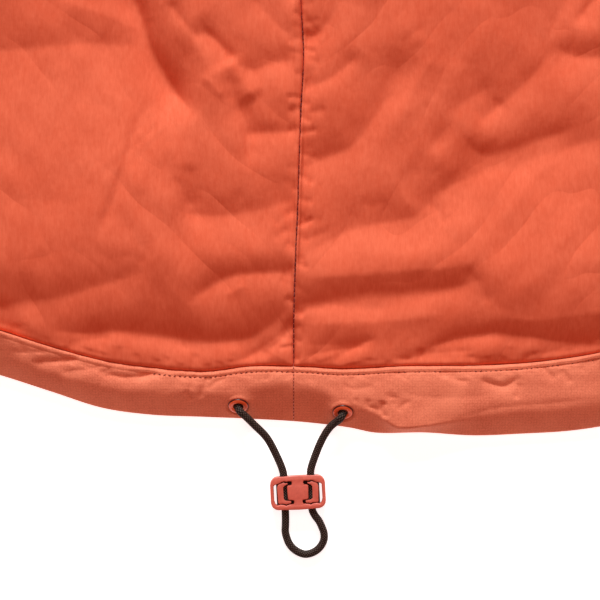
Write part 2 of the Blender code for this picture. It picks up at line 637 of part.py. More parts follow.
def collar():
    """Padded stand collar, folded flat at both sides and open at the zip."""
    fold_x = NECK_HALF - COLLAR_HALF_WALL - 0.5 * (COLLAR_HIGH_Z - COLLAR_LOW_Z)
    middle = 0.5 * (COLLAR_HIGH_Z + COLLAR_LOW_Z)
    radius = 0.5 * (COLLAR_HIGH_Z - COLLAR_LOW_Z)
    route = [(x, COLLAR_LOW_Z, 0.0, -1.0, 0.0) for x in FRONT_TOP_X[:8]]
    for k in range(7):
        angle = -math.pi / 2 + math.pi * k / 6
        sin, cos = math.sin(angle), math.cos(angle)
        route.append((fold_x + radius * cos, middle + radius * sin, cos, sin, k / 6))
    route += [(x, COLLAR_HIGH_Z, 0.0, 1.0, 1.0) for x in (66, 46, 26, 9)]
    mirror = [(-x, z, -nx, nz, back) for x, z, nx, nz, back in reversed(route)]
    rings = []
    for x, z, nx, nz, back in route + mirror:
        share = float(smooth(back))
        tilt = (x / NECK_HALF) ** 2
        front_top = COLLAR_FRONT_TOP + (COLLAR_SIDE_TOP - COLLAR_FRONT_TOP) * tilt
        back_top_y = COLLAR_BACK_TOP + (COLLAR_SIDE_TOP - COLLAR_BACK_TOP) * tilt
        high = (1 - share) * front_top + share * back_top_y
        ring = []
        for share_up, out in COLLAR_SECTION:
            at_x = x + nx * out
            at_z = z + nz * out
            front = neck_line(FRONT_TOP_X, front_neck, at_x)
            low = max(front, neck_line(BACK_TOP_X, back_neck, at_x)) if back else front
            if back == 1.0:
                low = neck_line(BACK_TOP_X, back_neck, at_x)
            if back == 0.0:
                at_z = min(max(at_z, float(zip_low(at_x))), float(zip_top(at_x)))
            ring.append((at_x, low + share_up * (high - low), at_z))
        rings.append(ring)
    loft("collar", SHELL, rings)


def box(name, material, low, high, bevel=0.0):
    """Box between two corners, with a bevel on its edges."""
    bm = bmesh.new()
    low = np.array(low, dtype=float)
    high = np.array(high, dtype=float)
    centre = Matrix.Translation(world((low + high) / 2))
    size = Matrix.Diagonal((*((high - low) * MM), 1.0))
    bmesh.ops.create_cube(bm, size=1.0, matrix=centre @ size)
    if bevel:
        bmesh.ops.bevel(
            bm, geom=bm.edges[:], offset=bevel * MM, segments=1, affect="EDGES", profile=0.5,
        )
    return finish(bm, name, material, smooth_shade=False)


def join(target, others):
    """Unite overlapping pieces of one moulding."""
    for other in others:
        as_cutter(other)
        modifier = target.modifiers.new("join", "BOOLEAN")
        modifier.operation = "UNION"
        modifier.solver = "EXACT"
        modifier.object = other


def zip_parts():
    """Tapes, chain, slider and pull in the valley of the centre front."""
    foot = float(along(FRONT_LOW, 0.0)) + 0.5
    for side, word in ((-1, "left"), (1, "right")):
        edges = sorted((side * ZIP_TAPE_IN, side * ZIP_TAPE_OUT))
        box(
            "zip_tape_" + word, TAPE, (edges[0], foot, ZIP_TAPE_Z[0]),
            (edges[1], COLLAR_FRONT_TOP - 2, ZIP_TAPE_Z[1]),
        )
    box(
        "zip_chain", TAPE, (-ZIP_CHAIN_HALF, foot, ZIP_CHAIN_Z[0]),
        (ZIP_CHAIN_HALF, SLIDER_Y + 2.4, ZIP_CHAIN_Z[1]),
    )
    y = SLIDER_Y
    slider = box("zip_slider", METAL, (-4.2, y - 6, 4.3), (4.2, y + 7, 5.5), 0.35)
    join(slider, (
        box("slider_inner", METAL, (-4.0, y - 5.5, 8.6), (4.0, y + 6.5, 9.6), 0.3),
        box("slider_post", METAL, (-1.4, y + 3.2, 5.2), (1.4, y + 6, 8.9)),
        box("slider_arch", METAL, (-1.0, y - 3.6, 1.2), (1.0, y + 3.6, 2.3)),
        box("slider_arch_low", METAL, (-1.0, y - 3.6, 1.9), (1.0, y - 2.6, 4.6)),
        box("slider_arch_high", METAL, (-1.0, y + 2.6, 1.9), (1.0, y + 3.6, 4.6)),
    ))
    pull = box("zip_pull", METAL, (-2.6, -PULL_LENGTH, -0.6), (2.6, 0.6, 0.6), 0.3)
    window = as_cutter(box("pull_window", METAL, (-1.4, -4.7, -2), (1.4, -0.6, 2)))
    grip = as_cutter(box("pull_grip", METAL, (-1.2, -21.5, -2), (1.2, -19, 2)))
    for obj in (pull, window, grip):
        obj.data.transform(Matrix.Translation((0.0, -SHIFT_Y * MM, 0.0)))
        obj.location = world((0.0, y, PULL_Z))
    cut(pull, window)
    cut(pull, grip)


def eyelet_frame(place):
    """Centre of an eyelet on the band and its outward direction."""
    x, y = place
    high = float(back_hem(x)) - GAP
    low = float(along(HEM_LOW, x))
    z = float(base_z(x, y)) + float(band_height(high - y, y - low))
    normal = np.array((0.0, -math.sin(EYELET_TILT), math.cos(EYELET_TILT)))
    return np.array((x, y, z)) - EYELET_SINK * normal, normal


def placed(obj, centre, normal):
    """Turn an upright piece to an eyelet's direction."""
    turn = Vector((0.0, 0.0, 1.0)).rotation_difference(Vector(normal)).to_matrix().to_4x4()
    obj.data.transform(Matrix.Translation(world(centre)) @ turn)
    return obj


def lathe(name, material, profile, segments=24):
    """Ring turned about z from a closed profile of (radius, z)."""
    bm = bmesh.new()
    verts = [bm.verts.new((r * MM, 0.0, z * MM)) for r, z in profile]
    edges = [bm.edges.new((verts[k - 1], verts[k])) for k in range(len(verts))]
    bmesh.ops.spin(
        bm, geom=verts + edges, cent=(0, 0, 0), axis=(0, 0, 1), angle=2 * math.pi,
        steps=segments, use_duplicate=False, use_merge=True,
    )
    bmesh.ops.remove_doubles(bm, verts=bm.verts[:], dist=1e-7)
    return finish(bm, name, material)


def drum(name, radius, low, high, segments=28):
    """Upright round cutter."""
    bm = bmesh.new()
    bmesh.ops.create_cone(
        bm, cap_ends=True, segments=segments, radius1=radius * MM, radius2=radius * MM,
        depth=(high - low) * MM, matrix=Matrix.Translation((0.0, 0.0, 0.5 * (low + high) * MM)),
    )
    return as_cutter(finish(bm, name, TAPE))


def cord_route():
    """Smooth line of the drawcord through casing, eyelets and lock."""
    ends = []
    for side, place in zip((-1, 1), EYELETS):
        centre, normal = eyelet_frame(place)
        x = place[0]
        level = float(base_z(x, 10.0)) + 4.7
        hidden = [
            np.array((x + side * 26.0, place[1] + 6.2, level)),
            np.array((x + side * 15.0, place[1] + 5.2, level)),
            np.array((x + side * 7.0, place[1] + 4.4, level)),
            centre - 5.7 * normal + np.array((side * 2.2, 0.0, 0.8)),
            centre - 3.8 * normal,
            centre - 2.5 * normal,
            centre - 1.1 * normal,
            centre + 0.3 * normal,
            centre + 1.7 * normal,
            centre + 3.0 * normal + np.array((-side * 0.5, 0.0, 0.0)),
        ]
        ends.append(hidden)
    cos, sin = math.cos(LOCK_TURN), math.sin(LOCK_TURN)
    bores = []
    for x in (-LOCK_BORE_X, LOCK_BORE_X):
        bores.append([
            np.array(LOCK_CENTRE) + np.array((x * cos - y * sin, x * sin + y * cos, 0.0))
            for y in (8.8, 4.4, 0.0, -4.4, -8.8)
        ])
    points = ends[0] + list(CORD_DOWN) + bores[0] + list(CORD_LOOP)
    points += bores[1][::-1] + list(CORD_UP) + ends[1][::-1]
    points = np.array([tuple(point) for point in points])
    lengths = np.concatenate(([0.0], np.cumsum(np.linalg.norm(np.diff(points, axis=0), axis=1))))
    at = np.linspace(0.0, lengths[-1], CORD_POINTS)
    route = [along(np.stack((lengths, points[:, k]), axis=1), at) for k in range(3)]
    return np.stack(route, axis=1)


def cord_tube(name, route, radius, material):
    """Round tube along a route."""
    curve = bpy.data.curves.new(name + "_line", "CURVE")
    curve.dimensions = "3D"
    curve.bevel_depth = radius * MM
    curve.bevel_resolution = 2
    curve.use_fill_caps = True
    spline = curve.splines.new("POLY")
    spline.points.add(len(route) - 1)
    for point, place in zip(spline.points, world(route)):
        point.co = (*place, 1.0)
    line = bpy.data.objects.new(name + "_line", curve)
    PARTS.objects.link(line)
    bpy.context.view_layer.update()
    mesh = bpy.data.meshes.new_from_object(line)
    bpy.data.objects.remove(line)
    bm = bmesh.new()
    bm.from_mesh(mesh)
    bmesh.ops.remove_doubles(bm, verts=bm.verts[:], dist=1e-7)
    return finish(bm, name, material)


def drawcord(bands):
    """Cord, eyelets, and the seats and holes they need in the casings."""
    route = cord_route()
    cord_tube("drawcord", route, CORD_DIAMETER / 2, CORD)
    profile = (
        (EYELET_HOLE, -2.3), (2.45, -2.3), (2.45, 0.0), (EYELET_OUTER, 0.0), (EYELET_OUTER, 0.45),
        (3.9, 1.05), (2.9, 1.15), (2.2, 0.85), (EYELET_HOLE, 0.35),
    )
    middle = len(route) // 2
    for side, band, place, word in zip((-1, 1), bands, EYELETS, ("left", "right")):
        centre, normal = eyelet_frame(place)
        placed(lathe("eyelet_" + word, RING, profile), centre, normal)
        seat = drum("seat_" + word, EYELET_OUTER + GAP, -GAP, 9.0)
        barrel = drum("barrel_" + word, 2.45 + GAP, -2.3 - GAP, 0.5)
        cut(band, placed(seat, centre, normal))
        cut(band, placed(barrel, centre, normal))
        half = route[:middle] if side < 0 else route[middle:]
        near = np.array([point for point in half if (point - centre) @ normal < 3.4])
        tunnel = as_cutter(cord_tube("tunnel_" + word, near, EYELET_HOLE, TAPE))
        cut(band, tunnel)


def lock_outline(bulge, radius):
    """Rounded outline of the lock with slightly bowed long sides."""
    width, height, _ = LOCK_SIZE
    points = []
    for sx, sy, start in ((1, 1, 0), (-1, 1, 90), (-1, -1, 180), (1, -1, 270)):
        for k in range(5):
            angle = math.radians(start + 22.5 * k)
            x = sx * (width / 2 - radius) + radius * math.cos(angle)
            y = sy * (height / 2 - radius - bulge) + radius * math.sin(angle)
            points.append((x, y + sy * bulge * (1.0 - (2 * x / width) ** 2)))
        if sx * sy > 0:
            points.append((0.0, sy * height / 2))
    return points


def cord_lock():
    """Flat cord lock: frame with windows, slots and bores, and two hooked jaws."""
    depth = LOCK_SIZE[2] / 2
    bm = bmesh.new()
    verts = [bm.verts.new((x * MM, y * MM, -depth * MM)) for x, y in lock_outline(0.5, 3.2)]
    face = bm.faces.new(verts)
    made = bmesh.ops.extrude_face_region(bm, geom=[face])
    top = [item for item in made["geom"] if isinstance(item, bmesh.types.BMVert)]
    bmesh.ops.translate(bm, verts=top, vec=(0.0, 0.0, 2 * depth * MM))
    rims = [edge for edge in bm.edges if abs(edge.verts[0].co.z - edge.verts[1].co.z) < 1e-6]
    bmesh.ops.bevel(bm, geom=rims, offset=0.7 * MM, segments=2, affect="EDGES", profile=0.5)
    frame = finish(bm, "cord_lock_frame", LOCK)
    cutters = []
    jaws = []
    for side, word in ((-1, "left"), (1, "right")):
        window = sorted((side * 5.2, side * 10.6))
        cutters.append(box("window_" + word, TAPE, (window[0], -4.3, -9), (window[1], 4.3, 9)))
        notch = sorted((side * 5.2, side * 9.1))
        cutters.append(box("notch_" + word, TAPE, (notch[0], -5.5, 1.65), (notch[1], 5.5, 9)))
        plate = sorted((side * 6.3, side * 8.8))
        jaw = box("cord_lock_jaw_" + word, LOCK, (plate[0], -5.2, 1.95), (plate[1], 5.2, 3.0))
        hook = sorted((side * 5.5, side * 6.6))
        bar = sorted((side * 7.98, side * 8.8))
        pieces = (
            box("hook_high_" + word, LOCK, (hook[0], 3.9, 1.95), (hook[1], 5.2, 3.0)),
            box("hook_low_" + word, LOCK, (hook[0], -5.2, 1.95), (hook[1], -3.9, 3.0)),
            box("bar_" + word, LOCK, (bar[0], -4.0, -2.9), (bar[1], 4.0, 2.4)),
        )
        jaws.append((jaw, pieces))
    for cutter in cutters:
        as_cutter(cutter)
    for side, word in ((-1, "left"), (1, "right")):
        bore = drum("bore_" + word, LOCK_BORE, -12.0, 12.0, segments=20)
        bore.data.transform(Matrix.Rotation(math.pi / 2, 4, "X"))
        bore.data.transform(Matrix.Translation((side * LOCK_BORE_X * MM, 0.0, 0.0)))
        cutters.append(bore)
    place = Matrix.Translation(world(LOCK_CENTRE)) @ Matrix.Rotation(LOCK_TURN, 4, "Z")
    back = Matrix.Translation((0.0, -SHIFT_Y * MM, 0.0))
    frame.data.transform(place)
    for cutter in cutters:
        boxed = not cutter.name.startswith("bore")
        cutter.data.transform(place @ back if boxed else place)
        cut(frame, cutter)
    for jaw, pieces in jaws:
        for piece in (jaw, *pieces):
            piece.data.transform(place @ back)
        join(jaw, pieces)


for old in list(bpy.data.objects):
    bpy.data.objects.remove(old)
PARTS = bpy.data.collections.new(NAME)
CUTTERS = bpy.data.collections.new("cutters")
bpy.context.scene.collection.children.link(PARTS)
bpy.context.scene.collection.children.link(CUTTERS)
SHELL = fabric("shell", (0.70, 0.12, 0.06), 0.5)
RIPSTOP = fabric("ripstop", (0.66, 0.15, 0.09), 0.6)
RING = fabric("eyelet", (0.72, 0.12, 0.04), 0.4)
LOCK = fabric("lock", (0.58, 0.12, 0.09), 0.4)
CORD = fabric("cord", (0.015, 0.014, 0.013), 0.7)
TAPE = fabric("tape", (0.45, 0.07, 0.04), 0.7)
METAL = fabric("metal", (0.30, 0.30, 0.31), 0.35)
METAL.node_tree.nodes["Principled BSDF"].inputs["Metallic"].default_value = 1.0

body_panels()
BANDS = back_bands()
front_bands()
sleeves()
collar()
zip_parts()
drawcord(BANDS)
cord_lock()
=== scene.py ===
import math
from collections import namedtuple

import bmesh
import bpy
import numpy as np
from mathutils import Matrix, Vector

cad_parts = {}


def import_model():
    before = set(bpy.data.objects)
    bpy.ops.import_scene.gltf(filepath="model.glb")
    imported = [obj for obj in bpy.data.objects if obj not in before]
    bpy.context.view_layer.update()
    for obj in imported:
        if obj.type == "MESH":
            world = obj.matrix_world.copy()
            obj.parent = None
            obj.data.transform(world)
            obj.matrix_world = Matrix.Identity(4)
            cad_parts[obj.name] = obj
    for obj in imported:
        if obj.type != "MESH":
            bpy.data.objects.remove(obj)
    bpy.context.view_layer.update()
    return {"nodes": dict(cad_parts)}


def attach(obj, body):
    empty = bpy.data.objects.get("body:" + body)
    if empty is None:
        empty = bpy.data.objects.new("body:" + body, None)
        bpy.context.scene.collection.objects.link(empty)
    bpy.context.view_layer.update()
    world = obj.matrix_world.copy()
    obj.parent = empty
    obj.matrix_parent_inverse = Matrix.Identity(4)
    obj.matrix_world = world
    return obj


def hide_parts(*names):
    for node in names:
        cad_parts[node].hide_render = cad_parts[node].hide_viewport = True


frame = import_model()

# All lengths are in millimetres unless a comment says otherwise
MM = 0.001
GAP = 0.3
SHIFT_Y = -382.2

# Layers: the level where the fronts and the back meet, and the skin kept free on either side of it
PART_Z = 10.0
SKIN = 0.15
FLOOR_LIFT = 0.4
BACK_LOFT = 11.0
FRONT_TOP = PART_Z - SKIN
TAIL_RAMP = 28.0
TAIL_LEAD = 8.0
# Length over which the top of the back comes down to the tail
TAIL_FALL = 22.0
# Thickness below which a valley flattens out, and how softly
THIN = 2.2
THIN_SOFT = 1.2
# Thickness of a single cloth
CLOTH = 0.5

# Body outline, and half lengths over which side seam and armhole, neck and shoulder, blend
SIDE_BLEND = 12.0
TOP_BLEND = 10.0
HALF_HEM = 267.0
UNDERARM_Y = 455.0
NECK_HALF = 92.0
NECK_POINT_Y = 716.0
SHOULDER_X = 235.0
SHOULDER_Y = 672.0
BACK_NECK_Y = 700.0
FRONT_NECK_Y = 640.0
FRONT_NECK_POWER = 2.2
FRONT_EDGE_X = 5.5

# Seam thicknesses and the widths over which the padding fills out
SEAM_CENTRE = (8.5, 16.0)
SEAM_HEM = (8.2, 9.0)
SEAM_SIDE = (1.5, 20.0)
SEAM_ARMHOLE = (5.0, 16.0)
SEAM_NECK = (5.0, 14.0)
SEAM_SHOULDER = (1.5, 18.0)
SEAM_FRONT_HEM = (6.0, 8.0)

# Hem band
BAND_LOFT = 10.0
BAND_FALL = 13.0
BAND_EDGE = 1.5
BAND_SEAM = (8.2, 6.0)
BAND_POWER = 0.9
EDGE_KNEE = 0.16
EDGE_POWER = 0.85
BAND_FADES = (5.0, 3.0)
# Dip over the band's own seam: depth, half width, form, reach at the edge
BAND_SEAM_DIP = (0.5, 0.5, 1.5, 2.0)
# Distance of the stitch line from the seam
HEM_STITCH = 2.5
# Ridge and groove along the stitch line: height, its ripple, distance from the seam, half width
CASING_RIDGE = (0.34, 0.14, 1.2, 0.75)
CASING_GROOVE = (-0.36, 0.27, HEM_STITCH, 0.38)
RIB_DRIFT = (1.5, 0.37)
# Share of the ridge and groove on the left, where the rest starts, length over which it comes
SEWING_FADE = (0.3, -70.0, 60.0)
# Pinched ends of the bands at the side seams, lift of the lower wall at the edge
CASING_SIDE = (0.35, 14.0)
FRONT_BAND_SIDE = (1.5, 14.0)
CASING_LIFT = (0.7, 4.0)
# Press of an eyelet on the casing, and its seat: lowest point, level, radius, blend, reach
EYELET_PRESS = 7.0
SEAT_LOWEST = -2.5
SEAT_LEVEL = -0.2
SEAT_RADIUS = 4.75
SEAT_BLEND = 0.55
SEAT_REACH = 5.4
HOLE_RADIUS = 2.2
FAR_AWAY = 99.0
# Gathers of the front bands: height, turn, drift and its turn
FRONT_GATHERS = (0.25, 0.9, 2.0, 0.13)
# Ring of the front bands: share of the way down, inset, 1 on the lower wall
FRONT_PROFILE = (
    (0, 3.85, 0), (0.12, 1.9, 0), (0.25, 0.9, 0), (0.5, 0.3, 0), (0.7, 0.35, 0), (0.86, 0.9, 0),
    (0.95, 2.2, 0), (1, 4.4, 0), (1, 3.6, 1), (0.95, 1.6, 1), (0.86, 0.7, 1), (0.7, 0, 1),
    (0.5, 0.2, 1), (0.25, 0.9, 1), (0.12, 1.9, 1), (0, 3.85, 1),
)
FRONT_BAND_WIDTH = 24.0

# Sleeves and cuffs
CUFF_INNER = (531.0, 90.0)
CUFF_OUTER = (628.5, 129.4)
CUFF_WIDTH = 24.0
CUFF_LOFT = 4.6
SLEEVE_SEAM_END = (3.6, 14.0)
SLEEVE_SLIT = (0.035, 0.965)
# Speeds and direction of the sleeve's edges at armhole and cuff: inner edge, change to the outer
SLEEVE_LEAVE = (440.0, 190.0)
SLEEVE_ARRIVE = (440.0, 350.0)
SLEEVE_TURN = (-56.0, -12.0)
TUBE_EDGE = (0.6, 22.0)
TUBE_FLANK = 0.45
CUFF_END = (1.6, 4.0)
# Ribs of the cuffs: direction, then height, turn, drift and its turn
CUFF_LEAN = (0.924, 0.382)
CUFF_RIBS = (0.18, 2.1, 1.7, 0.11)

# Collar
COLLAR_BACK_TOP = 768.0
COLLAR_SIDE_TOP = 772.0
COLLAR_FRONT_TOP = 708.0
COLLAR_HALF_WALL = 3.9
COLLAR_LOW_Z = 4.3
COLLAR_HIGH_Z = 15.0
COLLAR_MIDDLE_Z = 0.5 * (COLLAR_HIGH_Z + COLLAR_LOW_Z)
COLLAR_GAP = 0.33
COLLAR_FLANK = 5.0
# Right half of a ring: share of the height, distance from the middle of the wall
COLLAR_SECTION = (
    (0, 2.5), (0.03, 3.2), (0.08, 3.6), (0.16, 3.8), (0.3, 3.9), (0.5, 3.9), (0.7, 3.85),
    (0.8, 3.75), (0.86, 3.55), (0.92, 3.2), (0.96, 2.75), (0.985, 2.0), (1, 1.0),
)

# Zip, in its valley at the centre front: half width of the valley, its upper and lower slopes
ZIP_VALLEY = 16.0
ZIP_SLOPE = 10.0
ZIP_UNDER_SLOPE = 18.0
ZIP_VALLEY_TOP = 6.25
ZIP_VALLEY_LOW = 4.2
SLIDER_Y = 694.0

# Drawcord, eyelets and lock
CORD_DIAMETER = 3.2
EYELET_TILT = math.radians(46.0)
EYELET_SINK = 0.5
EYELETS = ((-25.1, 6.2), (21.1, 3.5))
LOCK_CENTRE = (1.3, -32.1, 3.3)
LOCK_TURN = math.radians(3.0)
LOCK_SIZE = (24.4, 15.2, 6.4)
LOCK_BORE_X = 6.05
LOCK_BORE = 1.9
LOCK_BORE_LENGTH = 24.0
LOCK_BULGE = 0.5
LOCK_CORNER = 3.2
LOCK_CORNER_STEPS = 5
LOCK_EDGE = 0.45
LOCK_BASE_EDGE = 0.2
# Jaws: lower and upper level, rounding
LOCK_JAW_FORM = (1.9, 3.0, 0.25)
WELD = 2e-6
# Cord in the casing: aside and up from its eyelet, at a level over the cloth
CORD_HIDDEN = ((26.0, 6.2), (15.0, 5.2), (7.0, 4.4))
CORD_LEVEL_Y = 10.0
CORD_LEVEL = 4.7
# Cord through an eyelet: heights along its axis, and how far it bends behind and in front
CORD_BEHIND = -5.7
CORD_BEND = (2.2, 0.8)
CORD_THROUGH = (-3.8, -2.5, -1.1, 0.3, 1.7)
CORD_BEFORE = 3.0
CORD_LEAN = 0.5
CORD_IN_BORE = (8.8, 4.4, 0.0, -4.4, -8.8)
# Eyelet: radius, height; sides; radii between which its enamel keeps its own colour, darker outside
# them as painted shade on its rims
EYELET_PROFILE = (
    (1.95, -2.3), (2.4, -2.3), (2.45, -0.1), (4.3, -0.1), (4.55, 0.05), (4.6, 0.3), (4.45, 0.62),
    (4.1, 0.92), (3.6, 1.12), (3.1, 1.16), (2.7, 1.06), (2.35, 0.86), (2.1, 0.58), (1.98, 0.25),
)
EYELET_SIDES = 72
EYELET_UNSHADED = (2.3, 4.42)

# Lower edge of the back hem band: x, y
HEM_LOW = (
    (-267, 60), (-240, 52), (-200, 40), (-160, 28), (-129.8, 19.4), (-107.8, 12.3), (-85.8, 5.3),
    (-63.8, 2.2), (-41.8, 1.3), (-19.8, 0.4), (2.2, -0.9), (24.2, -3.5), (35.2, -5.7),
    (57.2, -5.7), (79.2, -7.0), (101.2, -6.2), (123.2, -4.8), (145, -1.2), (165, 4.5), (190, 14),
    (220, 27), (250, 43), (267, 52),
)
# Seam between the back panels and their band: x, y
HEM_HIGH = (
    (-267, 84), (-200, 62), (-160, 49.5), (-129.8, 39.6), (-103.4, 31.2), (-83, 26), (-63.8, 23.3),
    (-38.7, 21.6), (-20.2, 23.8), (2.2, 23.8), (21.6, 22.7), (44.4, 23.8), (90.6, 24.6),
    (111.8, 26.4), (134.2, 29.9), (165, 38), (200, 50), (235, 65), (267, 80),
)
# Lower edge of the front hem band: x, y
FRONT_LOW = ((-267, 60), (-130, 62), (0, 62), (130, 59), (267, 53))
# Centre back seam: y, x
CENTRE_SEAM = (
    (20, -0.6), (50, -0.4), (97, 1.3), (137, 2.6), (158, 3.7), (186, 2.6),
    (300, 1.0), (450, 0.4), (710, 0.0),
)
# Side seam: y, half width
SIDE_SEAM = ((45, 267), (90, 266.5), (150, 268), (250, 270), (350, 276), (420, 282), (455, 285))
# Armhole: y, half width
ARMHOLE = ((455, 285), (478, 258), (512, 236), (560, 222), (610, 219), (645, 226), (672, 235))

Fold = namedtuple("Fold", "path depth wide narrow")
# How far a fold reaches, in widths; share of its path over which it tapers; form of its slopes
FOLD_REACH = 3.4
FOLD_TAPER = 0.22
FOLD_POWER = 1.3
# Valleys of the back, ridges where the depth is negative. The wide slope is left of the path.
LEFT_FOLDS = (
    Fold(((-87.5, 217), (-74, 190.5), (-68.5, 177.5), (-65, 165), (-58, 152), (-49.5, 140.5),
        (-40.5, 132)), 8.6, 9.5, 26),
    Fold(((-156, 160.5), (-116.5, 163), (-97, 165.5), (-80.5, 165), (-64, 164.5)), 3.2, 9, 30),
    Fold(((-160.5, 46), (-121, 52), (-103.5, 54.5), (-86, 59.5), (-69, 65), (-57, 69)), 3.2, 13,
        10),
    Fold(((-112, 40), (-92.5, 38.5), (-79, 39.5), (-64, 38), (-42, 35), (-22, 36), (-12, 41.5),
        (-5, 47.5), (5, 53)), 3.2, 6.5, 6),
    Fold(((-43.5, 177.5), (-33, 164), (-25, 156), (-17.5, 153.5), (-9, 157), (6.5, 158)), 3.0, 8,
        9),
    Fold(((-56, 94.5), (-47, 91.5), (-39, 90), (-29.5, 90), (-17, 92), (-8.5, 94.5), (7.5, 99)),
        4.5, 13, 15),
    Fold(((-48, 50.5), (-38.5, 58.5), (-28.5, 63.5), (-19, 65), (-9, 65.5), (7.5, 65.5)), 3.5, 7,
        8),
    Fold(((-30.5, 157), (-26.5, 142), (-22, 130), (-19.5, 108.5)), 2.2, 6, 3),
    Fold(((-60, 222), (-50, 187), (-45, 171), (-39, 158), (-37.5, 132)), -3.4, 30, 9),
    Fold(((-24, 125.5), (-11, 126.5), (5, 126.5)), 2.2, 6, 5.5),
    Fold(((-262, 214), (-215, 226), (-150, 216), (-110, 222)), 3.5, 16, 8),
    Fold(((-205, 300), (-130, 284), (-55, 292)), 3.2, 15, 8),
    Fold(((-272, 402), (-226, 388), (-170, 380)), 3.4, 15, 8),
    Fold(((-150, 424), (-70, 408), (10, 412)), 3.0, 16, 8),
    Fold(((-120, 536), (-160, 562), (-212, 606)), 3.0, 14, 8),
    Fold(((-95, 610), (-50, 600), (12, 606)), 2.6, 14, 8),
)
RIGHT_FOLDS = (
    Fold(((-6.5, 106), (13, 115.5), (24, 119.5), (31.5, 128.5), (40, 141), (46.5, 152), (57, 167)),
        5, 13, 15),
    Fold(((-4, 143), (12, 148.5), (21, 154), (29.5, 163)), 2.2, 6, 6),
    Fold(((-4, 164), (8.5, 168.5), (15.5, 176.5), (24, 191.5)), 2.2, 6, 7),
    Fold(((-10, 63), (9, 75.5), (17.5, 80.5), (25, 84), (35.5, 86.5), (46, 88), (53.5, 90),
        (58, 96), (64, 100.5), (71, 104.5), (79, 108), (86.5, 112), (103.5, 115.5), (134, 123.5),
        (156, 127)), 8.5, 20, 32),
    Fold(((57, 116.5), (66.5, 128), (71.5, 137.5), (80.5, 144), (89.5, 148.5)), 1.6, 8, 9),
    Fold(((70, 133.5), (75, 123), (81.5, 117.5), (90, 116.5), (100, 119.5), (111.5, 125),
        (126.5, 130)), 2.1, 5.5, 8),
    Fold(((73.5, 123), (90, 138.5), (101, 148.5), (109.5, 159), (113, 174), (122, 190.5),
        (132.5, 216)), 5.5, 20, 14),
    Fold(((110.5, 167), (121, 160.5), (134, 159.5), (160.5, 163)), 3, 7, 10),
    Fold(((-11, 51), (24, 52.5), (46, 55), (64, 57.5), (76, 60.5), (86, 65)), 3.9, 7.5, 7.5),
    Fold(((46, 27), (67.5, 35), (81.5, 38), (92.5, 38.5), (105.5, 37), (119, 35), (138.5, 36.5),
        (174, 43.5)), 2.3, 4.2, 4.5),
    Fold(((60, 252), (125, 262), (196, 286)), 3.4, 16, 8),
    Fold(((140, 330), (205, 348), (268, 352)), 3.2, 15, 8),
    Fold(((-10, 384), (75, 372), (150, 392)), 3.0, 16, 8),
    Fold(((-10, 500), (65, 492), (120, 504)), 2.8, 15, 8),
    Fold(((206, 620), (168, 574), (118, 540)), 3.0, 14, 8),
)
LEFT_SLEEVE_FOLDS = (
    Fold(((-348, 560), (-300, 570), (-246, 560)), 3.0, 14, 8),
    Fold(((-430, 470), (-372, 452), (-312, 470)), 3.4, 15, 8),
    Fold(((-508, 372), (-452, 340), (-392, 352)), 3.2, 14, 8),
    Fold(((-545, 300), (-500, 282), (-442, 268)), 2.8, 13, 8),
    Fold(((-596, 190), (-548, 196), (-496, 178)), 2.8, 12, 8),
)
RIGHT_SLEEVE_FOLDS = (
    Fold(((244, 590), (296, 580), (352, 596)), 3.2, 14, 8),
    Fold(((322, 436), (384, 438), (436, 470)), 3.0, 15, 8),
    Fold(((404, 372), (452, 380), (500, 400)), 3.2, 13, 8),
    Fold(((452, 262), (500, 250), (560, 280)), 3.0, 14, 8),
    Fold(((505, 168), (560, 172), (604, 198)), 2.6, 12, 8),
)

# Coarse grid lines of the panels: distances from the inner edge, and the spans of their rows
BACK_COLUMNS = (0, 4, 10, 20, 33, 47, 61, 76, 91, 107, 123, 142, 165, 190, 215, 237, 254, 263, 267)
BACK_ROW_SPAN = 431
FRONT_COLUMNS = (0, 3.5, 8, 13, 18, 25, 50, 90, 130, 170, 205, 232, 250, 258, 261.5)
FRONT_ROW_SPAN = 371
UNDERARM_SHARE = 0.638
# Where the same grid lines meet the neckline and the shoulder
BACK_TOP_X = (0, 4, 10, 20, 30, 41, 52, 63, 73, 83, 92, 108, 128, 150, 172, 192, 212, 228, 235)
FRONT_TOP_X = (5.5, 9, 13, 17, 24, 38, 54, 70, 83, 92, 120, 160, 200, 225, 235)
# Direction in which the sleeve leaves the armhole: share from the underarm, degrees
SLEEVE_START = ((0, -42), (0.05, -30), (0.13, -26), (0.25, -20), (0.55, -13), (0.83, -20), (1, -28))

# Drawcord in the open, either side of the lock: x, y, z
CORD_DOWN = ((-21.6, 1.6, 8.7), (-17.6, -2.4, 7.4), (-12.8, -7.4, 5.7), (-8.6, -15.0, 3.9))
CORD_LOOP = (
    (-4.2, -45.2, 2.8), (-4.2, -50.6, 2.0), (-1.4, -56.7, 1.75), (4.6, -59.8, 1.7),
    (10.4, -57.4, 1.75), (13.0, -52.2, 2.0), (11.0, -45.6, 2.7),
)
CORD_UP = ((9.2, -15.2, 3.9), (12.4, -7.8, 5.2), (15.6, -2.9, 6.6), (18.3, -0.6, 7.7))
CORD_POINTS = 76

# Fine grid lines, in the units of the tables above
FINE_COLUMNS = np.concatenate((
    np.arange(0, 10, 0.6), np.arange(10, 136, 1.05), np.linspace(136, 258, 28),
    (261, 263.5, 265.5, 267),
))
FINE_ROWS = np.concatenate((
    np.arange(0, 12, 0.6), np.arange(12, 168, 1.05), np.linspace(168, 405, 48),
))
FINE_ARMHOLE = np.concatenate((np.linspace(0, 0.93, 30), (0.955, 0.975, 0.99, 1)))
PLAIN_COLUMNS = np.concatenate((
    np.linspace(0, 25, 11), np.linspace(31, 250, 40), (254, 257, 259.5, 261.5),
))
PLAIN_ROWS = np.concatenate((np.linspace(0, 12, 7), np.linspace(17, 350, 66), (354, 358)))
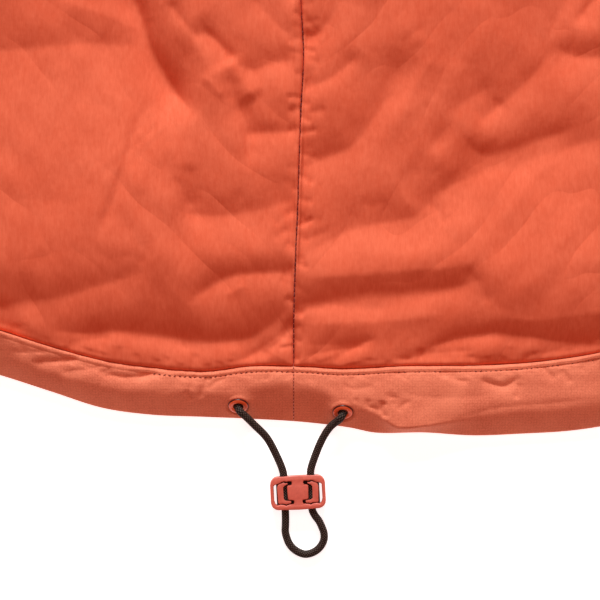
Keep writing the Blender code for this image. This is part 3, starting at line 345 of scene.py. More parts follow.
# Columns of the bands, and shares of their width down the upper and along the lower wall
CASING_COLUMNS = np.concatenate((
    np.arange(0, 28, 0.45), np.arange(28, 136, 0.9), np.linspace(137, 262, 42), (264, 266, 267),
)) / 267.0
CASING_DOWN = np.concatenate((np.linspace(0, 0.16, 13)[:-1], np.linspace(0.16, 1.0, 46)))
CASING_UNDER = np.linspace(0.985, 0.0, 16)
FRONT_BAND_COLUMNS = np.concatenate((
    np.linspace(0, 25, 14), np.linspace(30, 250, 74), (254, 258, 260, 261.5),
)) / 261.5
# Stations of the sleeves, and shares across them near an edge
SLEEVE_EDGE = np.array((0, 0.004, 0.012, 0.024, 0.04, 0.06, 0.085))
SLEEVE_STEPS = np.concatenate((
    np.linspace(0, 0.03, 8)[:-1], np.linspace(0.03, 0.97, 130), np.linspace(0.97, 1, 8)[1:],
))
COLLAR_FRONT_STEPS = np.concatenate(((5.5, 6.5, 8.0), np.linspace(10, 83, 32)))
COLLAR_BACK_STEPS = np.linspace(80, 1.2, 34)

# Smaller valleys and creases of the back and of its hem casing: the same kind of table
FINE_LEFT = (
    Fold(((-29, 159.5), (-24, 150.5), (-17, 140)), -2.2, 4, 8),
    Fold(((-74, 198), (-68, 177), (-60, 155.5), (-50, 141), (-40.5, 131)), 1.7, 3.2, 7),
    Fold(((-63, 142), (-69.5, 130), (-74.5, 112.5), (-80.5, 95), (-88, 78)), 1.5, 7, 2.2),
    Fold(((-77, 110.5), (-77.5, 79.5), (-76, 51)), 0.3, 1.4, 1.4),
    Fold(((-64.5, 115.5), (-65, 84), (-64, 53)), 0.45, 4, 2),
    Fold(((-45.5, 113), (-46, 103.5), (-44, 92)), 0.9, 3, 4),
    Fold(((-54, 108), (-49, 101), (-43, 86.5)), 0.5, 2, 3),
    Fold(((-105.5, 184.5), (-86, 179), (-65.5, 171)), -0.9, 6, 5),
    Fold(((-56, 184.5), (-48, 174), (-40, 165)), 1.3, 4, 3),
    Fold(((-40.5, 151), (-35.5, 146.5), (-31.5, 141)), -0.5, 1.6, 1.6),
    Fold(((-20.5, 187), (-12, 177.5), (-4.5, 170.5), (3, 167.5)), 1.0, 4, 4),
    Fold(((-40, 172), (-33, 165), (-26, 158)), 0.8, 1.6, 2.2),
    Fold(((-130, 94.5), (-112, 97), (-89.5, 93.5)), 0.7, 10, 8),
    Fold(((-116.5, 66.5), (-103.5, 74.5), (-80.5, 71.5)), 0.8, 10, 8),
    Fold(((-86, 70), (-72.5, 72.5), (-63, 67.5)), 0.5, 5, 4),
    Fold(((-64.5, 137), (-60.5, 119), (-57.5, 97), (-60.5, 70)), 0.5, 6, 5),
    Fold(((-31, 55), (-26, 57.5), (-21.5, 60.5)), -0.5, 1.6, 1.8),
    Fold(((-24, 26), (-14.5, 32), (-5.5, 39), (4, 46)), 1.4, 4, 3),
    Fold(((-17, 27), (-9, 33), (-2, 40), (4, 43.5)), 1.0, 2.6, 2.6),
    Fold(((-50.5, 30.5), (-46.5, 36.5), (-43, 42)), 0.5, 3, 3),
    Fold(((-29.5, 25), (-19, 28.5), (-4.5, 35.5)), 0.7, 4, 3),
    Fold(((-103.5, 31), (-94.5, 35), (-80.5, 37)), 0.8, 4, 4),
    Fold(((-129, 53), (-126.5, 43.5), (-124.5, 32)), 1.1, 4, 4),
    Fold(((-10, 85), (-4, 90), (2, 93.5)), 0.6, 2.6, 2.6),
    Fold(((-10, 79), (-4, 84), (2, 87)), 0.6, 2.6, 2.6),
    Fold(((-26, 101.5), (-21.5, 96.5), (-20, 91)), 0.3, 3, 3),
)
FINE_RIGHT = (
    Fold(((79.5, 44.5), (108, 44.5), (134, 48), (174, 55)), -1.8, 15, 5),
    Fold(((-2, 63.5), (24, 64), (46, 66), (68, 67.5), (84, 70)), -1.2, 12, 5),
    Fold(((0.5, 43), (24, 43), (46, 44.5), (69, 47)), -1.0, 8, 4.5),
    Fold(((122, 172), (127, 180), (134, 188), (144, 200)), 2.0, 2.4, 5),
    Fold(((1.5, 134.5), (7.5, 135.5), (14.5, 136.5)), 0.9, 3, 3),
    Fold(((79.5, 131.5), (86, 136), (91, 142)), 0.7, 4, 4),
    Fold(((1.5, 48), (7.5, 50), (14.5, 49)), 0.5, 2, 2),
    Fold(((1.5, 34), (20, 33.5), (39, 36)), 0.6, 4, 4),
    Fold(((92.5, 52.5), (110, 70), (136, 91)), 0.7, 11, 11),
    Fold(((77, 68), (99, 83), (136, 102.5)), 0.7, 11, 11),
    Fold(((58, 97), (63, 92), (66, 85)), 0.7, 2, 2),
    Fold(((73.5, 68), (80.5, 60.5), (86, 50.5)), 0.8, 4, 4),
    Fold(((45.5, 163), (51, 169), (58.5, 172.5)), 0.5, 3, 3),
    Fold(((54.5, 164), (47, 152), (40, 141)), -0.5, 2, 2),
    Fold(((62.5, 161.5), (53, 147.5), (46, 131.5)), -0.6, 3, 3),
    Fold(((2, 181), (7.5, 173), (13.5, 168.5)), 0.5, 1.6, 1.6),
    Fold(((1.5, 85), (7.5, 88.5), (14.5, 87.5)), 0.5, 2.6, 2.6),
    Fold(((1.5, 78), (9, 81.5), (16.5, 84)), 0.5, 2.6, 2.6),
    Fold(((28.5, 97), (35, 94.5), (41, 98)), 0.4, 4, 4),
    Fold(((48, 112), (57, 108), (66.5, 111.5)), 0.3, 5, 4),
    Fold(((74.5, 30.5), (83.5, 25), (92.5, 24), (102.5, 27.5), (106.5, 34)), 0.9, 3, 3),
    Fold(((15.5, 24), (22, 30), (36.5, 37)), 1.0, 3, 2.6),
    Fold(((2, 27.5), (17, 31), (34, 33)), 0.8, 3, 2.6),
    Fold(((39.5, 25), (59.5, 29.5), (82.5, 31)), 0.9, 4, 3),
    Fold(((106, 27.5), (119, 32.5), (136, 34.5)), 0.9, 4, 3),
    Fold(((77, 57), (92.5, 49), (110, 44.5), (136, 48.5)), 0.7, 8, 6),
    Fold(((69, 182.5), (66.5, 167.5), (64, 154.5)), 0.4, 6, 6),
)
BAND_FOLDS = (
    Fold(((-117.5, 25.5), (-107.8, 26), (-102.5, 26.6), (-98, 27.7), (-93.7, 29.3)), 1.5, 1.8, 3),
    Fold(((-105, 20.7), (-96.8, 22), (-89.3, 22.9), (-84, 24.9)), 1.0, 2.4, 2.4),
    Fold(((-87.6, 19.4), (-80.5, 19.8), (-74.4, 18.9), (-67.3, 19.6), (-60.3, 22)), 1.4, 1.9, 2.6),
    Fold(((-86.7, 20.7), (-84, 21.6), (-81.4, 23.3)), 0.6, 1.1, 1.2),
    Fold(((-128, 31), (-118, 30), (-108, 30.5)), 0.5, 1.6, 1.6),
    Fold(((-48.4, 13.6), (-46.5, 11), (-44.9, 8.4)), 1.0, 1.2, 1.6),
    Fold(((-42, 9), (-40.5, 14), (-37.5, 20)), 1.0, 1.5, 1.3),
    Fold(((-46.5, 13), (-45, 17), (-44, 21)), 0.6, 1.4, 1.2),
    Fold(((-39, 13), (-35, 17), (-29, 19)), 0.7, 1.4, 1.3),
    Fold(((-57, 11), (-56, 15), (-56.5, 20)), 0.35, 1.2, 1.2),
    Fold(((20, 16), (27, 14), (36, 16)), 0.5, 2.2, 1.8),
    Fold(((26, 10.1), (27.7, 7), (25.5, 4)), 0.6, 1.2, 1.2),
    Fold(((33.4, 10.1), (32, 6.6), (36, 4.8), (34.8, 2.2)), 0.9, 1.2, 1.4),
    Fold(((39.6, 9), (38.3, 4.8), (40, 0.4)), 1.4, 1.2, 1.7),
    Fold(((42.7, 13.2), (41.4, 10.6), (44.9, 9.7), (42.7, 5.7)), 0.6, 1.1, 1.1),
    Fold(((51.5, 8.8), (47, 6.6), (44.9, 3.5)), 0.7, 1.2, 1.2),
    Fold(((80.5, 18.9), (85.8, 16.5), (92.4, 15.2), (96.8, 17.6), (99.4, 21.1)), 1.3, 1.8, 2.2),
    Fold(((68.2, 20.7), (71.7, 18), (77, 17.2)), 0.8, 1.4, 1.5),
    Fold(((99, 17), (98.5, 13), (97.4, 9)), 0.8, 1.0, 1.2),
    Fold(((109, 24.2), (113, 19.8), (115.7, 17.6)), 0.7, 1.1, 1.3),
    Fold(((117.5, 23.3), (120, 18.9), (122.3, 16.3)), 0.7, 1.1, 1.3),
    Fold(((63.8, -1.3), (77, 2.2), (90, 5.7), (112, 7.5), (134, 10)), 0.5, 2, 2.5),
    Fold(((44, 12), (66, 10), (88, 11.5)), 0.3, 2.5, 2),
)
# Width over which the hem casing falls to its lower edge: x, width
EDGE_FALL = (
    (-267, 9), (-130, 9), (-100, 9), (-60, 10.5), (-38, 10.5), (-28, 10.5), (-21, 13), (-13, 15.5),
    (0, 16), (10, 15.5), (16, 13.5), (22, 10.5), (30, 10), (36, 9), (40, 6), (44, 3.2), (58, 3.2),
    (66, 5), (77, 8), (90, 10), (134, 11), (267, 10),
)
# Share of a fully rounded edge: x, share
EDGE_SOFT = (
    (-267, 0.75), (-60, 0.65), (-40, 0.5), (-26, 0.2), (-16, 0), (18, 0), (34, 0.1), (44, 0),
    (58, 0), (80, 0.5), (267, 0.6),
)
EDGE_ROUND = 16.0

# Fine creases of the satin, as a bump: direction from the horizontal, how much longer than wide,
# how many a metre, height in metres; patches a metre, detail, and how the patches fade
FACET_ANGLE = math.radians(48.0)
FACET_STRETCH = (2.6, 1.0, 1.0)
FACET_SCALE = 33.0
FACET_HEIGHT = 0.0068
FACET_PATCHES = 19.0
FACET_DETAIL = 1.5
FACET_FADE = (0.40, 0.62, 0.25)

# Cloth: warm gloss, pitch of the ripstop grid in metres, period of a wave texture, thin threads
CLOTH_GLOSS = (1.0, 0.78, 0.56, 1.0)
RIPSTOP_PITCH = 0.00125
WAVE_PERIOD = 0.314
THREAD_SHARPNESS = 7.0

# Undulation: number of waves, span of lengths, drift across x and y
WAVE_COUNT = 14
WAVE_LENGTHS = (0.6, 1.7)
WAVE_DRIFT = (0.02, -0.013)
# Where it is used: seed, pitch, height; without a seed on the sleeves
BACK_WAVES = (5, 46.0, 0.4)
CRUMPLE_WAVES = (9, 17.0, 0.15)
BAND_WAVES = (8, 13.0, 0.14)
FRONT_WAVES = (31, 60.0, 0.81)
COLLAR_WAVES = (61, 30.0, 0.25)
SLEEVE_WAVES = (52.0, 0.55)

# Gathers: spans of their steps, slants, reaches, depths and widths, run before the seam, wide slope
PUCKER_STEPS = (0.35, 1.8)
PUCKER_SLANTS = (-0.75, 0.45)
PUCKER_REACHES = (0.5, 1.6)
PUCKER_DEPTHS = (0.35, 1.3)
PUCKER_WIDTHS = (0.9, 2.0)
PUCKER_LEAD = 2.5
PUCKER_LEAN = 1.4
# Where they are used: count, reach, depth
CENTRE_GATHERS = (104, 5.5, 0.8)
HEM_GATHERS = (42, 5.5, 0.5)
BAND_GATHERS = (90, 4.2, 0.34)
SLEEVE_GATHERS = (26, 14.0, 1.0)
SLEEVE_GATHER_OUT = (0.94, -0.34)
BAND_GATHER_DROP = 2.0
CENTRE_SEED = 11
HEM_SEED = 23
BAND_SEEDS = (71, 73)
CENTRE_SPAN = (24.0, 706.0)

# Back: distances from side, top, hem and centre over which folds grow; dips at centre seam and hem
FOLD_FADES = (14.0, 12.0, 4.0, 2.0)
CENTRE_DIP = (1.3, 1.1)
HEM_DIP = (0.9, 1.6)
FINE_FADE = 4.0
# Fine creases end towards the side; the plain undulation starts round the crop
NEAR_X = 300.0
NEAR_BLEND = 30.0
FAR_Y = 60.0
FAR_FLATNESS = 0.8
FAR_RADIUS = 150.0
FAR_BLEND = 40.0

# Sewing: gap between panel and band, where the hem's stitches show, their lean, pitches, length and
# thickness of the threads, height over the cloth, ends of the rows
SEAM_GAP = 0.02
HEM_STITCH_FROM = -62.0
HEM_STITCH_TO = 262.0
HEM_STITCH_LEAN = (0.55, -0.3)
STITCH_PITCH = 2.25
BAND_SEAM_PITCH = 1.5
HEM_THREAD = (1.3, 0.36)
BAND_SEAM_THREAD = (1.0, 0.4)
CENTRE_THREAD = (2.2, 0.62)
HEM_STITCH_RISE = 0.26
BAND_SEAM_RISE = 0.04
BAND_SEAM_ENDS = (1.2, 0.4)
CENTRE_STITCHES = (26.0, 700.0)
CENTRE_STITCH_SINK = 0.9
# A stitch: shares of its length and width
STITCH_FORM = ((-1, 0.15), (-0.7, 0.75), (0, 1), (0.7, 0.75), (1, 0.15))
STITCH_SIDES = 6

# Braid of the cord: sides and stations of its skin, strands a turn and a millimetre, relief
CORD_SIDES = 44
CORD_STATIONS = 1040
BRAID_STRANDS = 8.0
BRAID_TWIST = 5.4
BRAID_RELIEF = 0.22

# Zip teeth: pitch, middle height, head and neck of a tooth as offset and half sizes
TEETH_PITCH = 1.4
TEETH_Z = 7.05
TOOTH_HEAD = (1.25, (1.0, 0.42, 1.15))
TOOTH_NECK = (-0.2, (0.55, 0.58, 0.8))
TEETH_FOOT = 1.1
TEETH_TOP = 1.6
BOX_CORNERS = ((-1, -1), (1, -1), (1, 1), (-1, 1))
BOX_FACES = (
    (3, 2, 1, 0), (4, 5, 6, 7), (0, 1, 5, 4), (1, 2, 6, 5), (2, 3, 7, 6), (3, 0, 4, 7),
)

# Studio, in metres: floor, lights with size, power and colour, surroundings, camera
FLOOR_SIZE = 30.0
FLOOR_AT = (0.0, 0.0, -0.0004)
LIT_POINT = Vector((0.0, -0.25, 0.0))
LIGHTS = (
    ("key", (-0.33, 6.4, 3.3), 2.2, 571.0, (1.0, 1.0, 1.0)),
    ("fill", (0.4, -1.9, 2.2), 2.2, 5.0, (1.0, 0.42, 0.32)),
    ("over", (0.0, 0.6, 3.2), 1.8, 26.0, (1.0, 0.66, 0.58)),
)
WORLD_COLOUR = (1.0, 0.32, 0.22, 1.0)
WORLD_STRENGTH = 0.25
CAMERA_AT = (0.0022, -0.3290, 1.0)
SENSOR = 36.0
VIEW_WIDTH = 0.264
VIEW_TRIM = 0.012

# Openings and jaws of the lock on its left, from its centre
LOCK_OPENING = (
    (-10.7, 3.2), (-10.2, 3.8), (-7.8, 4.5), (-6.8, 5.1), (-5.8, 5.3), (-4.7, 4.9), (-4.2, 5.2),
    (-2.7, 5.2), (-2.5, 4.4), (-2.8, 3.5), (-4.2, 3.4), (-4.7, 2.9), (-4.6, -2.6), (-4.1, -3.1),
    (-2.0, -3.3), (-1.8, -4.2), (-2.2, -5.0), (-3.7, -5.1), (-4.6, -5.2), (-5.4, -5.6),
    (-6.4, -5.1), (-8.2, -4.9), (-9.4, -5.4), (-10.2, -4.8), (-10.7, -3.4),
)
# Floor of the lock under its slots, coloured near black as painted shade
LOCK_BASE = ((-9.6, -5.7), (9.6, -5.7), (9.6, 5.7), (-9.6, 5.7))
LOCK_BASE_WALL = 0.9
LOCK_JAW = (
    (-8.8, 3.6), (-8.3, 4.1), (-7.2, 4.4), (-6.2, 4.8), (-5.4, 4.4), (-4.5, 4.5), (-4.3, 4.0),
    (-5.8, 3.3), (-6.4, 2.6), (-6.4, -2.6), (-5.6, -3.3), (-3.4, -3.5), (-3.1, -4.1), (-3.4, -4.6),
    (-4.6, -4.7), (-5.4, -5.0), (-6.2, -4.6), (-8.4, -4.6), (-9.0, -4.1), (-9.2, 2.8),
)


def smooth(t):
    """Ease from 0 to 1."""
    t = np.clip(t, 0.0, 1.0)
    return t * t * (3.0 - 2.0 * t)


def swell(t):
    """Quarter ellipse from 0 to 1."""
    t = np.clip(t, 0.0, 1.0)
    return np.sqrt(1.0 - (1.0 - t) ** 2)


def along(rows, x):
    """Smooth curve through rows of (x, y), straight beyond its ends."""
    xs, ys = np.array(rows, dtype=float).T
    x = np.asarray(x, dtype=float)
    steps = np.diff(ys) / np.diff(xs)
    slopes = np.concatenate((steps[:1], 0.5 * (steps[1:] + steps[:-1]), steps[-1:]))
    k = np.clip(np.searchsorted(xs, x) - 1, 0, len(steps) - 1)
    width = xs[k + 1] - xs[k]
    t = np.clip((x - xs[k]) / width, 0.0, 1.0)
    curve = ys[k] * (1 + 2 * t) * (1 - t) ** 2 + ys[k + 1] * t * t * (3 - 2 * t)
    curve = curve + width * (slopes[k] * t * (1 - t) ** 2 - slopes[k + 1] * t * t * (1 - t))
    before = np.minimum(x - xs[0], 0.0) * slopes[0]
    beyond = np.maximum(x - xs[-1], 0.0) * slopes[-1]
    return curve + before + beyond


def travelled(points):
    """Length run along a line of points, at each of them."""
    return np.concatenate(([0.0], np.cumsum(np.linalg.norm(np.diff(points, axis=0), axis=1))))


def directions(points):
    """Unit direction of a line at each of its points."""
    ahead = np.gradient(points, axis=0)
    return ahead / np.linalg.norm(ahead, axis=1)[:, None]


def resampled(points, count):
    """The same smooth line through evenly spaced points."""
    lengths = travelled(points)
    at = np.linspace(0.0, lengths[-1], count)
    return np.stack([along(np.stack((lengths, part), axis=1), at) for part in points.T], axis=1)


def half_width(y):
    """Half width of the body, by its side seam or its armhole."""
    return np.where(y <= UNDERARM_Y, along(SIDE_SEAM, y), along(ARMHOLE, y))


def neckline(x, middle, power):
    """Height of a neckline, given its height in the middle."""
    share = np.minimum(np.abs(x) / NECK_HALF, 1.0) ** power
    return middle + (NECK_POINT_Y - middle) * share


def back_neck(x):
    """Height of the back neckline."""
    return neckline(x, BACK_NECK_Y, 2)


def front_neck(x):
    """Height of the front neckline."""
    return neckline(x, FRONT_NECK_Y, FRONT_NECK_POWER)


def shoulder(x):
    """Height of the shoulder line."""
    share = (np.abs(x) - NECK_HALF) / (SHOULDER_X - NECK_HALF)
    return NECK_POINT_Y + (SHOULDER_Y - NECK_POINT_Y) * share


def back_hem(x):
    """Seam of the back panels with their band."""
    return along(HEM_HIGH, x)


def front_hem(x):
    """Seam of the front panels with their band."""
    return along(FRONT_LOW, x) + FRONT_BAND_WIDTH


def base_z(x, y, fall=0.0):
    """Underside of the back layer, from the fronts down to the table, sooner with a fall."""
    rise = PART_Z + SKIN - FLOOR_LIFT
    from_hem = y - along(FRONT_LOW, x) + TAIL_LEAD
    return FLOOR_LIFT + rise * smooth((from_hem + TAIL_RAMP) / (TAIL_RAMP + fall))


def filled(distance, seam, loft):
    """Thickness at a distance from a seam, given as its thickness and its reach."""
    return seam[0] + (loft - seam[0]) * swell(distance / seam[1])


def body_edges(x, y, neck, hem, hem_seam):
    """Distances from the outer seams of a body panel, each with its seam sizes."""
    under = smooth((y - UNDERARM_Y + SIDE_BLEND) / (2 * SIDE_BLEND))
    outer = smooth((np.abs(x) - NECK_HALF + TOP_BLEND) / (2 * TOP_BLEND))
    side = tuple(a + (b - a) * under for a, b in zip(SEAM_SIDE, SEAM_ARMHOLE))
    top = tuple(a + (b - a) * outer for a, b in zip(SEAM_NECK, SEAM_SHOULDER))
    height = np.where(np.abs(x) <= NECK_HALF, neck(x), shoulder(x))
    return [(half_width(y) - np.abs(x), side), (height - y, top), (y - hem(x), hem_seam)]


def rounded(path):
    """Points of a smooth curve through a path."""
    points = np.array(path, dtype=float)
    if len(points) < 3:
        return points
    ends = (2 * points[:1] - points[1:2], 2 * points[-1:] - points[-2:-1])
    points = np.concatenate((ends[0], points, ends[1]))
    t = np.linspace(0.0, 1.0, 5)[:-1, None]
    curve = []
    for a, b, c, d in zip(points[:-3], points[1:-2], points[2:-1], points[3:]):
        bend = (2 * a - 5 * b + 4 * c - d) * t ** 2 + (3 * b - a - 3 * c + d) * t ** 3
        curve.append(0.5 * (2 * b + (c - a) * t + bend))
    return np.concatenate(curve + [points[-2:-1]])


def fold_depth(folds, x, y):
    """Sum of soft valleys, each with a wide and a narrow slope."""
    total = np.zeros_like(x)
    for fold in folds:
        path = rounded(fold.path)
        reach = FOLD_REACH * max(fold.wide, fold.narrow)
        low = path.min(axis=0) - reach
        high = path.max(axis=0) + reach
        inside = (x > low[0]) & (x < high[0]) & (y > low[1]) & (y < high[1])
        px = x[inside]
        py = y[inside]
        steps = np.diff(path, axis=0)
        lengths = np.hypot(steps[:, 0], steps[:, 1])
        starts = travelled(path)
        best = np.full(px.shape, 1e9)
        side = np.zeros_like(px)
        run = np.zeros_like(px)
        for k, step in enumerate(steps):
            dx = px - path[k, 0]
            dy = py - path[k, 1]
            share = np.clip((dx * step[0] + dy * step[1]) / lengths[k] ** 2, 0.0, 1.0)
            distance = np.hypot(dx - share * step[0], dy - share * step[1])
            nearer = distance < best
            best = np.where(nearer, distance, best)
            side = np.where(nearer, step[0] * dy - step[1] * dx, side)
            run = np.where(nearer, starts[k] + share * lengths[k], run)
        width = np.where(side > 0, fold.wide, fold.narrow)
        run = run / starts[-1]
        ends = smooth(run / FOLD_TAPER) * smooth((1.0 - run) / FOLD_TAPER)
        total[inside] -= fold.depth * ends * np.exp(-(best / width) ** FOLD_POWER)
    return total


def zip_top(x):
    """Upper limit of the front pieces, lower where the zip tape lies on them."""
    drop = FRONT_TOP - ZIP_VALLEY_TOP
    return FRONT_TOP - drop * (1.0 - smooth((np.abs(x) - ZIP_VALLEY) / ZIP_SLOPE))


def zip_low(x):
    """Lower limit of the front pieces, raised beside the zip."""
    return ZIP_VALLEY_LOW * (1.0 - swell((np.abs(x) - FRONT_EDGE_X) / ZIP_UNDER_SLOPE))


def front_low(x, y):
    """Lower surface of the front panels, flat on the table."""
    edges = body_edges(x, y, front_neck, front_hem, SEAM_FRONT_HEM)
    loft = np.minimum.reduce([filled(d, seam, FRONT_TOP) for d, seam in edges])
    return np.maximum(zip_low(x), FRONT_TOP - loft)


def armhole_points(shares, gap):
    """Points of the right armhole from underarm to shoulder, moved out by a gap."""
    heights = np.linspace(UNDERARM_Y, SHOULDER_Y, 241)
    curve = np.stack((along(ARMHOLE, heights), heights), axis=1)
    lengths = travelled(curve)
    at = np.array(shares) * lengths[-1]
    points = np.stack([np.interp(at, lengths, curve[:, k]) for k in range(2)], axis=1)
    ahead = np.gradient(curve, lengths, axis=0)
    heading = np.stack([np.interp(at, lengths, ahead[:, k]) for k in range(2)], axis=1)
    heading /= np.hypot(heading[:, 0], heading[:, 1])[:, None]
    return points + gap * np.stack((heading[:, 1], -heading[:, 0]), axis=1)


def panel_plan(side, columns, rows, row_span, top_x, inner, hem, neck, steps):
    """Plan grid of a half body inside its inner edge, side, hem seam and neckline."""
    u = np.array(columns, dtype=float) / columns[-1]
    below = np.array(rows, dtype=float) / row_span
    v = np.concatenate((UNDERARM_SHARE * below, UNDERARM_SHARE + (1 - UNDERARM_SHARE) * steps))
    hem_in = hem(0.0)
    heights = hem_in + v * (neck(0.0) - hem_in)
    left = np.stack((inner(heights), heights), axis=1)
    hem_out = hem(side * HALF_HEM)
    seam = hem_out + below * (UNDERARM_Y - hem_out)
    arm = armhole_points(steps, 0.0)
    right = np.concatenate((np.stack((half_width(seam), seam), axis=1), arm))
    right[:, 0] *= side
    low_x = left[0, 0] + u * (right[0, 0] - left[0, 0])
    low = np.stack((low_x, hem(low_x)), axis=1)
    low[0] = left[0]
    top_x = side * np.array(top_x, dtype=float)
    top_y = np.where(np.abs(top_x) < NECK_HALF, neck(top_x), shoulder(top_x))
    high = np.stack((top_x, top_y), axis=1)
    high[0] = left[-1]
    u = u[None, :, None]
    v = v[:, None, None]
    plan = (1 - u) * left[:, None] + u * right[:, None] + (1 - v) * low[None] + v * high[None]
    plan = plan - (1 - u) * (1 - v) * low[0] - u * (1 - v) * low[-1]
    plan = plan - (1 - u) * v * high[0] - u * v * high[-1]
    return plan[..., 0], plan[..., 1]


def world(points):
    """Millimetre points in the frame of the part."""
    points = np.asarray(points, dtype=float) + np.array((0.0, SHIFT_Y, 0.0))
    return points * MM


def band_height(from_seam, from_edge):
    """Height of the casing over its underside, full in the middle and falling to the edge."""
    rise = np.clip(from_edge / BAND_FALL, 0.0, 1.0) * math.pi / 2
    edge = BAND_EDGE + (BAND_LOFT - BAND_EDGE) * np.sin(rise) ** BAND_POWER
    return np.minimum(filled(from_seam, BAND_SEAM, BAND_LOFT), edge)


def sleeve_plan(stations, across):
    """Plan grid of the right sleeve from the armhole to the cuff."""
    start = armhole_points(across, GAP)
    across = np.array(across)[:, None]
    end = np.array(CUFF_INNER) + across * (np.array(CUFF_OUTER) - np.array(CUFF_INNER))
    angle = np.radians(along(SLEEVE_START, across[:, 0]))[:, None]
    leave = np.hstack((np.cos(angle), np.sin(angle)))
    leave = leave * (SLEEVE_LEAVE[0] + SLEEVE_LEAVE[1] * across)
    turn = np.radians(SLEEVE_TURN[0] + SLEEVE_TURN[1] * across)
    arrive = np.hstack((np.cos(turn), np.sin(turn)))
    arrive = arrive * (SLEEVE_ARRIVE[0] + SLEEVE_ARRIVE[1] * across)
    w = np.array(stations)[:, None, None]
    plan = start * (1 + 2 * w) * (1 - w) ** 2 + end * w * w * (3 - 2 * w)
    return plan + leave * w * (1 - w) ** 2 - arrive * w * w * (1 - w)


def tube_thickness(plan, first, last, loft_z):
    """Half thickness of a flattened tube, round at its folded edges and pinched at its ends."""
    step = np.hypot(*np.moveaxis(np.diff(plan, axis=1), 2, 0))
    across = np.concatenate((np.zeros((len(plan), 1)), np.cumsum(step, axis=1)), axis=1)
    edge = np.minimum(across, across[:, -1:] - across)
    step = np.hypot(*np.moveaxis(np.diff(plan, axis=0), 2, 0))
    down = np.concatenate((np.zeros((1, plan.shape[1])), np.cumsum(step, axis=0)))
    ends = np.minimum(filled(down, first, loft_z), filled(down[-1:] - down, last, loft_z))
    return filled(edge, TUBE_EDGE, ends)


def neck_line(places, neck, x):
    """Height of the collar's lower edge over a neckline built through its places."""
    places = np.array(places, dtype=float)
    heights = neck(places)
    slope = np.interp(abs(x), places, np.gradient(heights, places))
    x = min(abs(x), NECK_HALF)
    return float(np.interp(x, places, heights) + COLLAR_GAP * math.hypot(1.0, float(slope)))


def eyelet_frame(place):
    """Centre of an eyelet on the band and its outward direction."""
    x, y = place
    high = float(back_hem(x)) - GAP
    low = float(along(HEM_LOW, x))
    z = float(base_z(x, y)) + float(band_height(high - y, y - low))
    normal = np.array((0.0, -math.sin(EYELET_TILT), math.cos(EYELET_TILT)))
    return np.array((x, y, z)) - EYELET_SINK * normal, normal


def cord_route():
    """Smooth line of the drawcord through casing, eyelets and lock."""
    ends = []
    for side, place in zip((-1, 1), EYELETS):
        centre, normal = eyelet_frame(place)
        x, y = place
        level = float(base_z(x, CORD_LEVEL_Y)) + CORD_LEVEL
        points = [(x + side * aside, y + up, level) for aside, up in CORD_HIDDEN]
        bend = np.array((side * CORD_BEND[0], 0.0, CORD_BEND[1]))
        points.append(centre + CORD_BEHIND * normal + bend)
        points += [centre + height * normal for height in CORD_THROUGH]
        points.append(centre + CORD_BEFORE * normal - np.array((side * CORD_LEAN, 0.0, 0.0)))
        ends.append(points)
    cos, sin = math.cos(LOCK_TURN), math.sin(LOCK_TURN)
    bores = []
    for x in (-LOCK_BORE_X, LOCK_BORE_X):
        bores.append([
            np.array(LOCK_CENTRE) + np.array((x * cos - y * sin, x * sin + y * cos, 0.0))
            for y in CORD_IN_BORE
        ])
    points = ends[0] + list(CORD_DOWN) + bores[0] + list(CORD_LOOP)
    points += bores[1][::-1] + list(CORD_UP) + ends[1][::-1]
    return resampled(np.array([tuple(point) for point in points]), CORD_POINTS)


def lock_outline(bulge, radius):
    """Rounded outline of the lock with slightly bowed long sides."""
    width, height, _ = LOCK_SIZE
    points = []
    for sx, sy, start in ((1, 1, 0), (-1, 1, 90), (-1, -1, 180), (1, -1, 270)):
        for angle in np.radians(np.linspace(start, start + 90, LOCK_CORNER_STEPS)):
            x = sx * (width / 2 - radius) + radius * math.cos(angle)
            y = sy * (height / 2 - radius - bulge) + radius * math.sin(angle)
            points.append((x, y + sy * bulge * (1.0 - (2 * x / width) ** 2)))
        if sx * sy > 0:
            points.append((0.0, sy * height / 2))
    return points


def node(tree, kind, inputs=None, **settings):
    """Shader node with its inputs set or linked."""
    made = tree.nodes.new(kind)
    for key, value in settings.items():
        setattr(made, key, value)
    for key, value in (inputs or {}).items():
        if isinstance(value, bpy.types.NodeSocket):
            tree.links.new(value, made.inputs[key])
        else:
            made.inputs[key].default_value = value
    return made


def shader(name, **inputs):
    """Principled material, its tree and the coordinates of its object."""
    material = bpy.data.materials.new(name)
    material.use_nodes = True
    tree = material.node_tree
    for key, value in inputs.items():
        tree.nodes["Principled BSDF"].inputs[key.replace("_", " ")].default_value = value
    return material, tree, node(tree, "ShaderNodeTexCoord").outputs["Object"]


def dressed(material, value, span, dark, light, normal=None):
    """Material with a colour from dark to light over a span of a value, and a bumped normal."""
    tree = material.node_tree
    inputs = tree.nodes["Principled BSDF"].inputs
    made = node(tree, "ShaderNodeValToRGB", {"Fac": value})
    for point, position, colour in zip(made.color_ramp.elements, span, (dark, light)):
        point.position = position
        point.color = (*colour, 1.0)
    tree.links.new(made.outputs["Color"], inputs["Base Color"])
    if normal is not None:
        tree.links.new(normal, inputs["Normal"])
    return material


def noise(tree, place, scale, detail, stretch=(1.0, 1.0, 1.0)):
    """Noise value, stretched along chosen axes."""
    mapped = node(tree, "ShaderNodeMapping", {"Vector": place, "Scale": stretch}).outputs[0]
    made = node(tree, "ShaderNodeTexNoise", {"Vector": mapped, "Scale": scale, "Detail": detail})
    return made.outputs["Fac"]


def math_node(tree, operation, *values):
    """Result of one operation."""
    return node(tree, "ShaderNodeMath", dict(enumerate(values)), operation=operation).outputs[0]


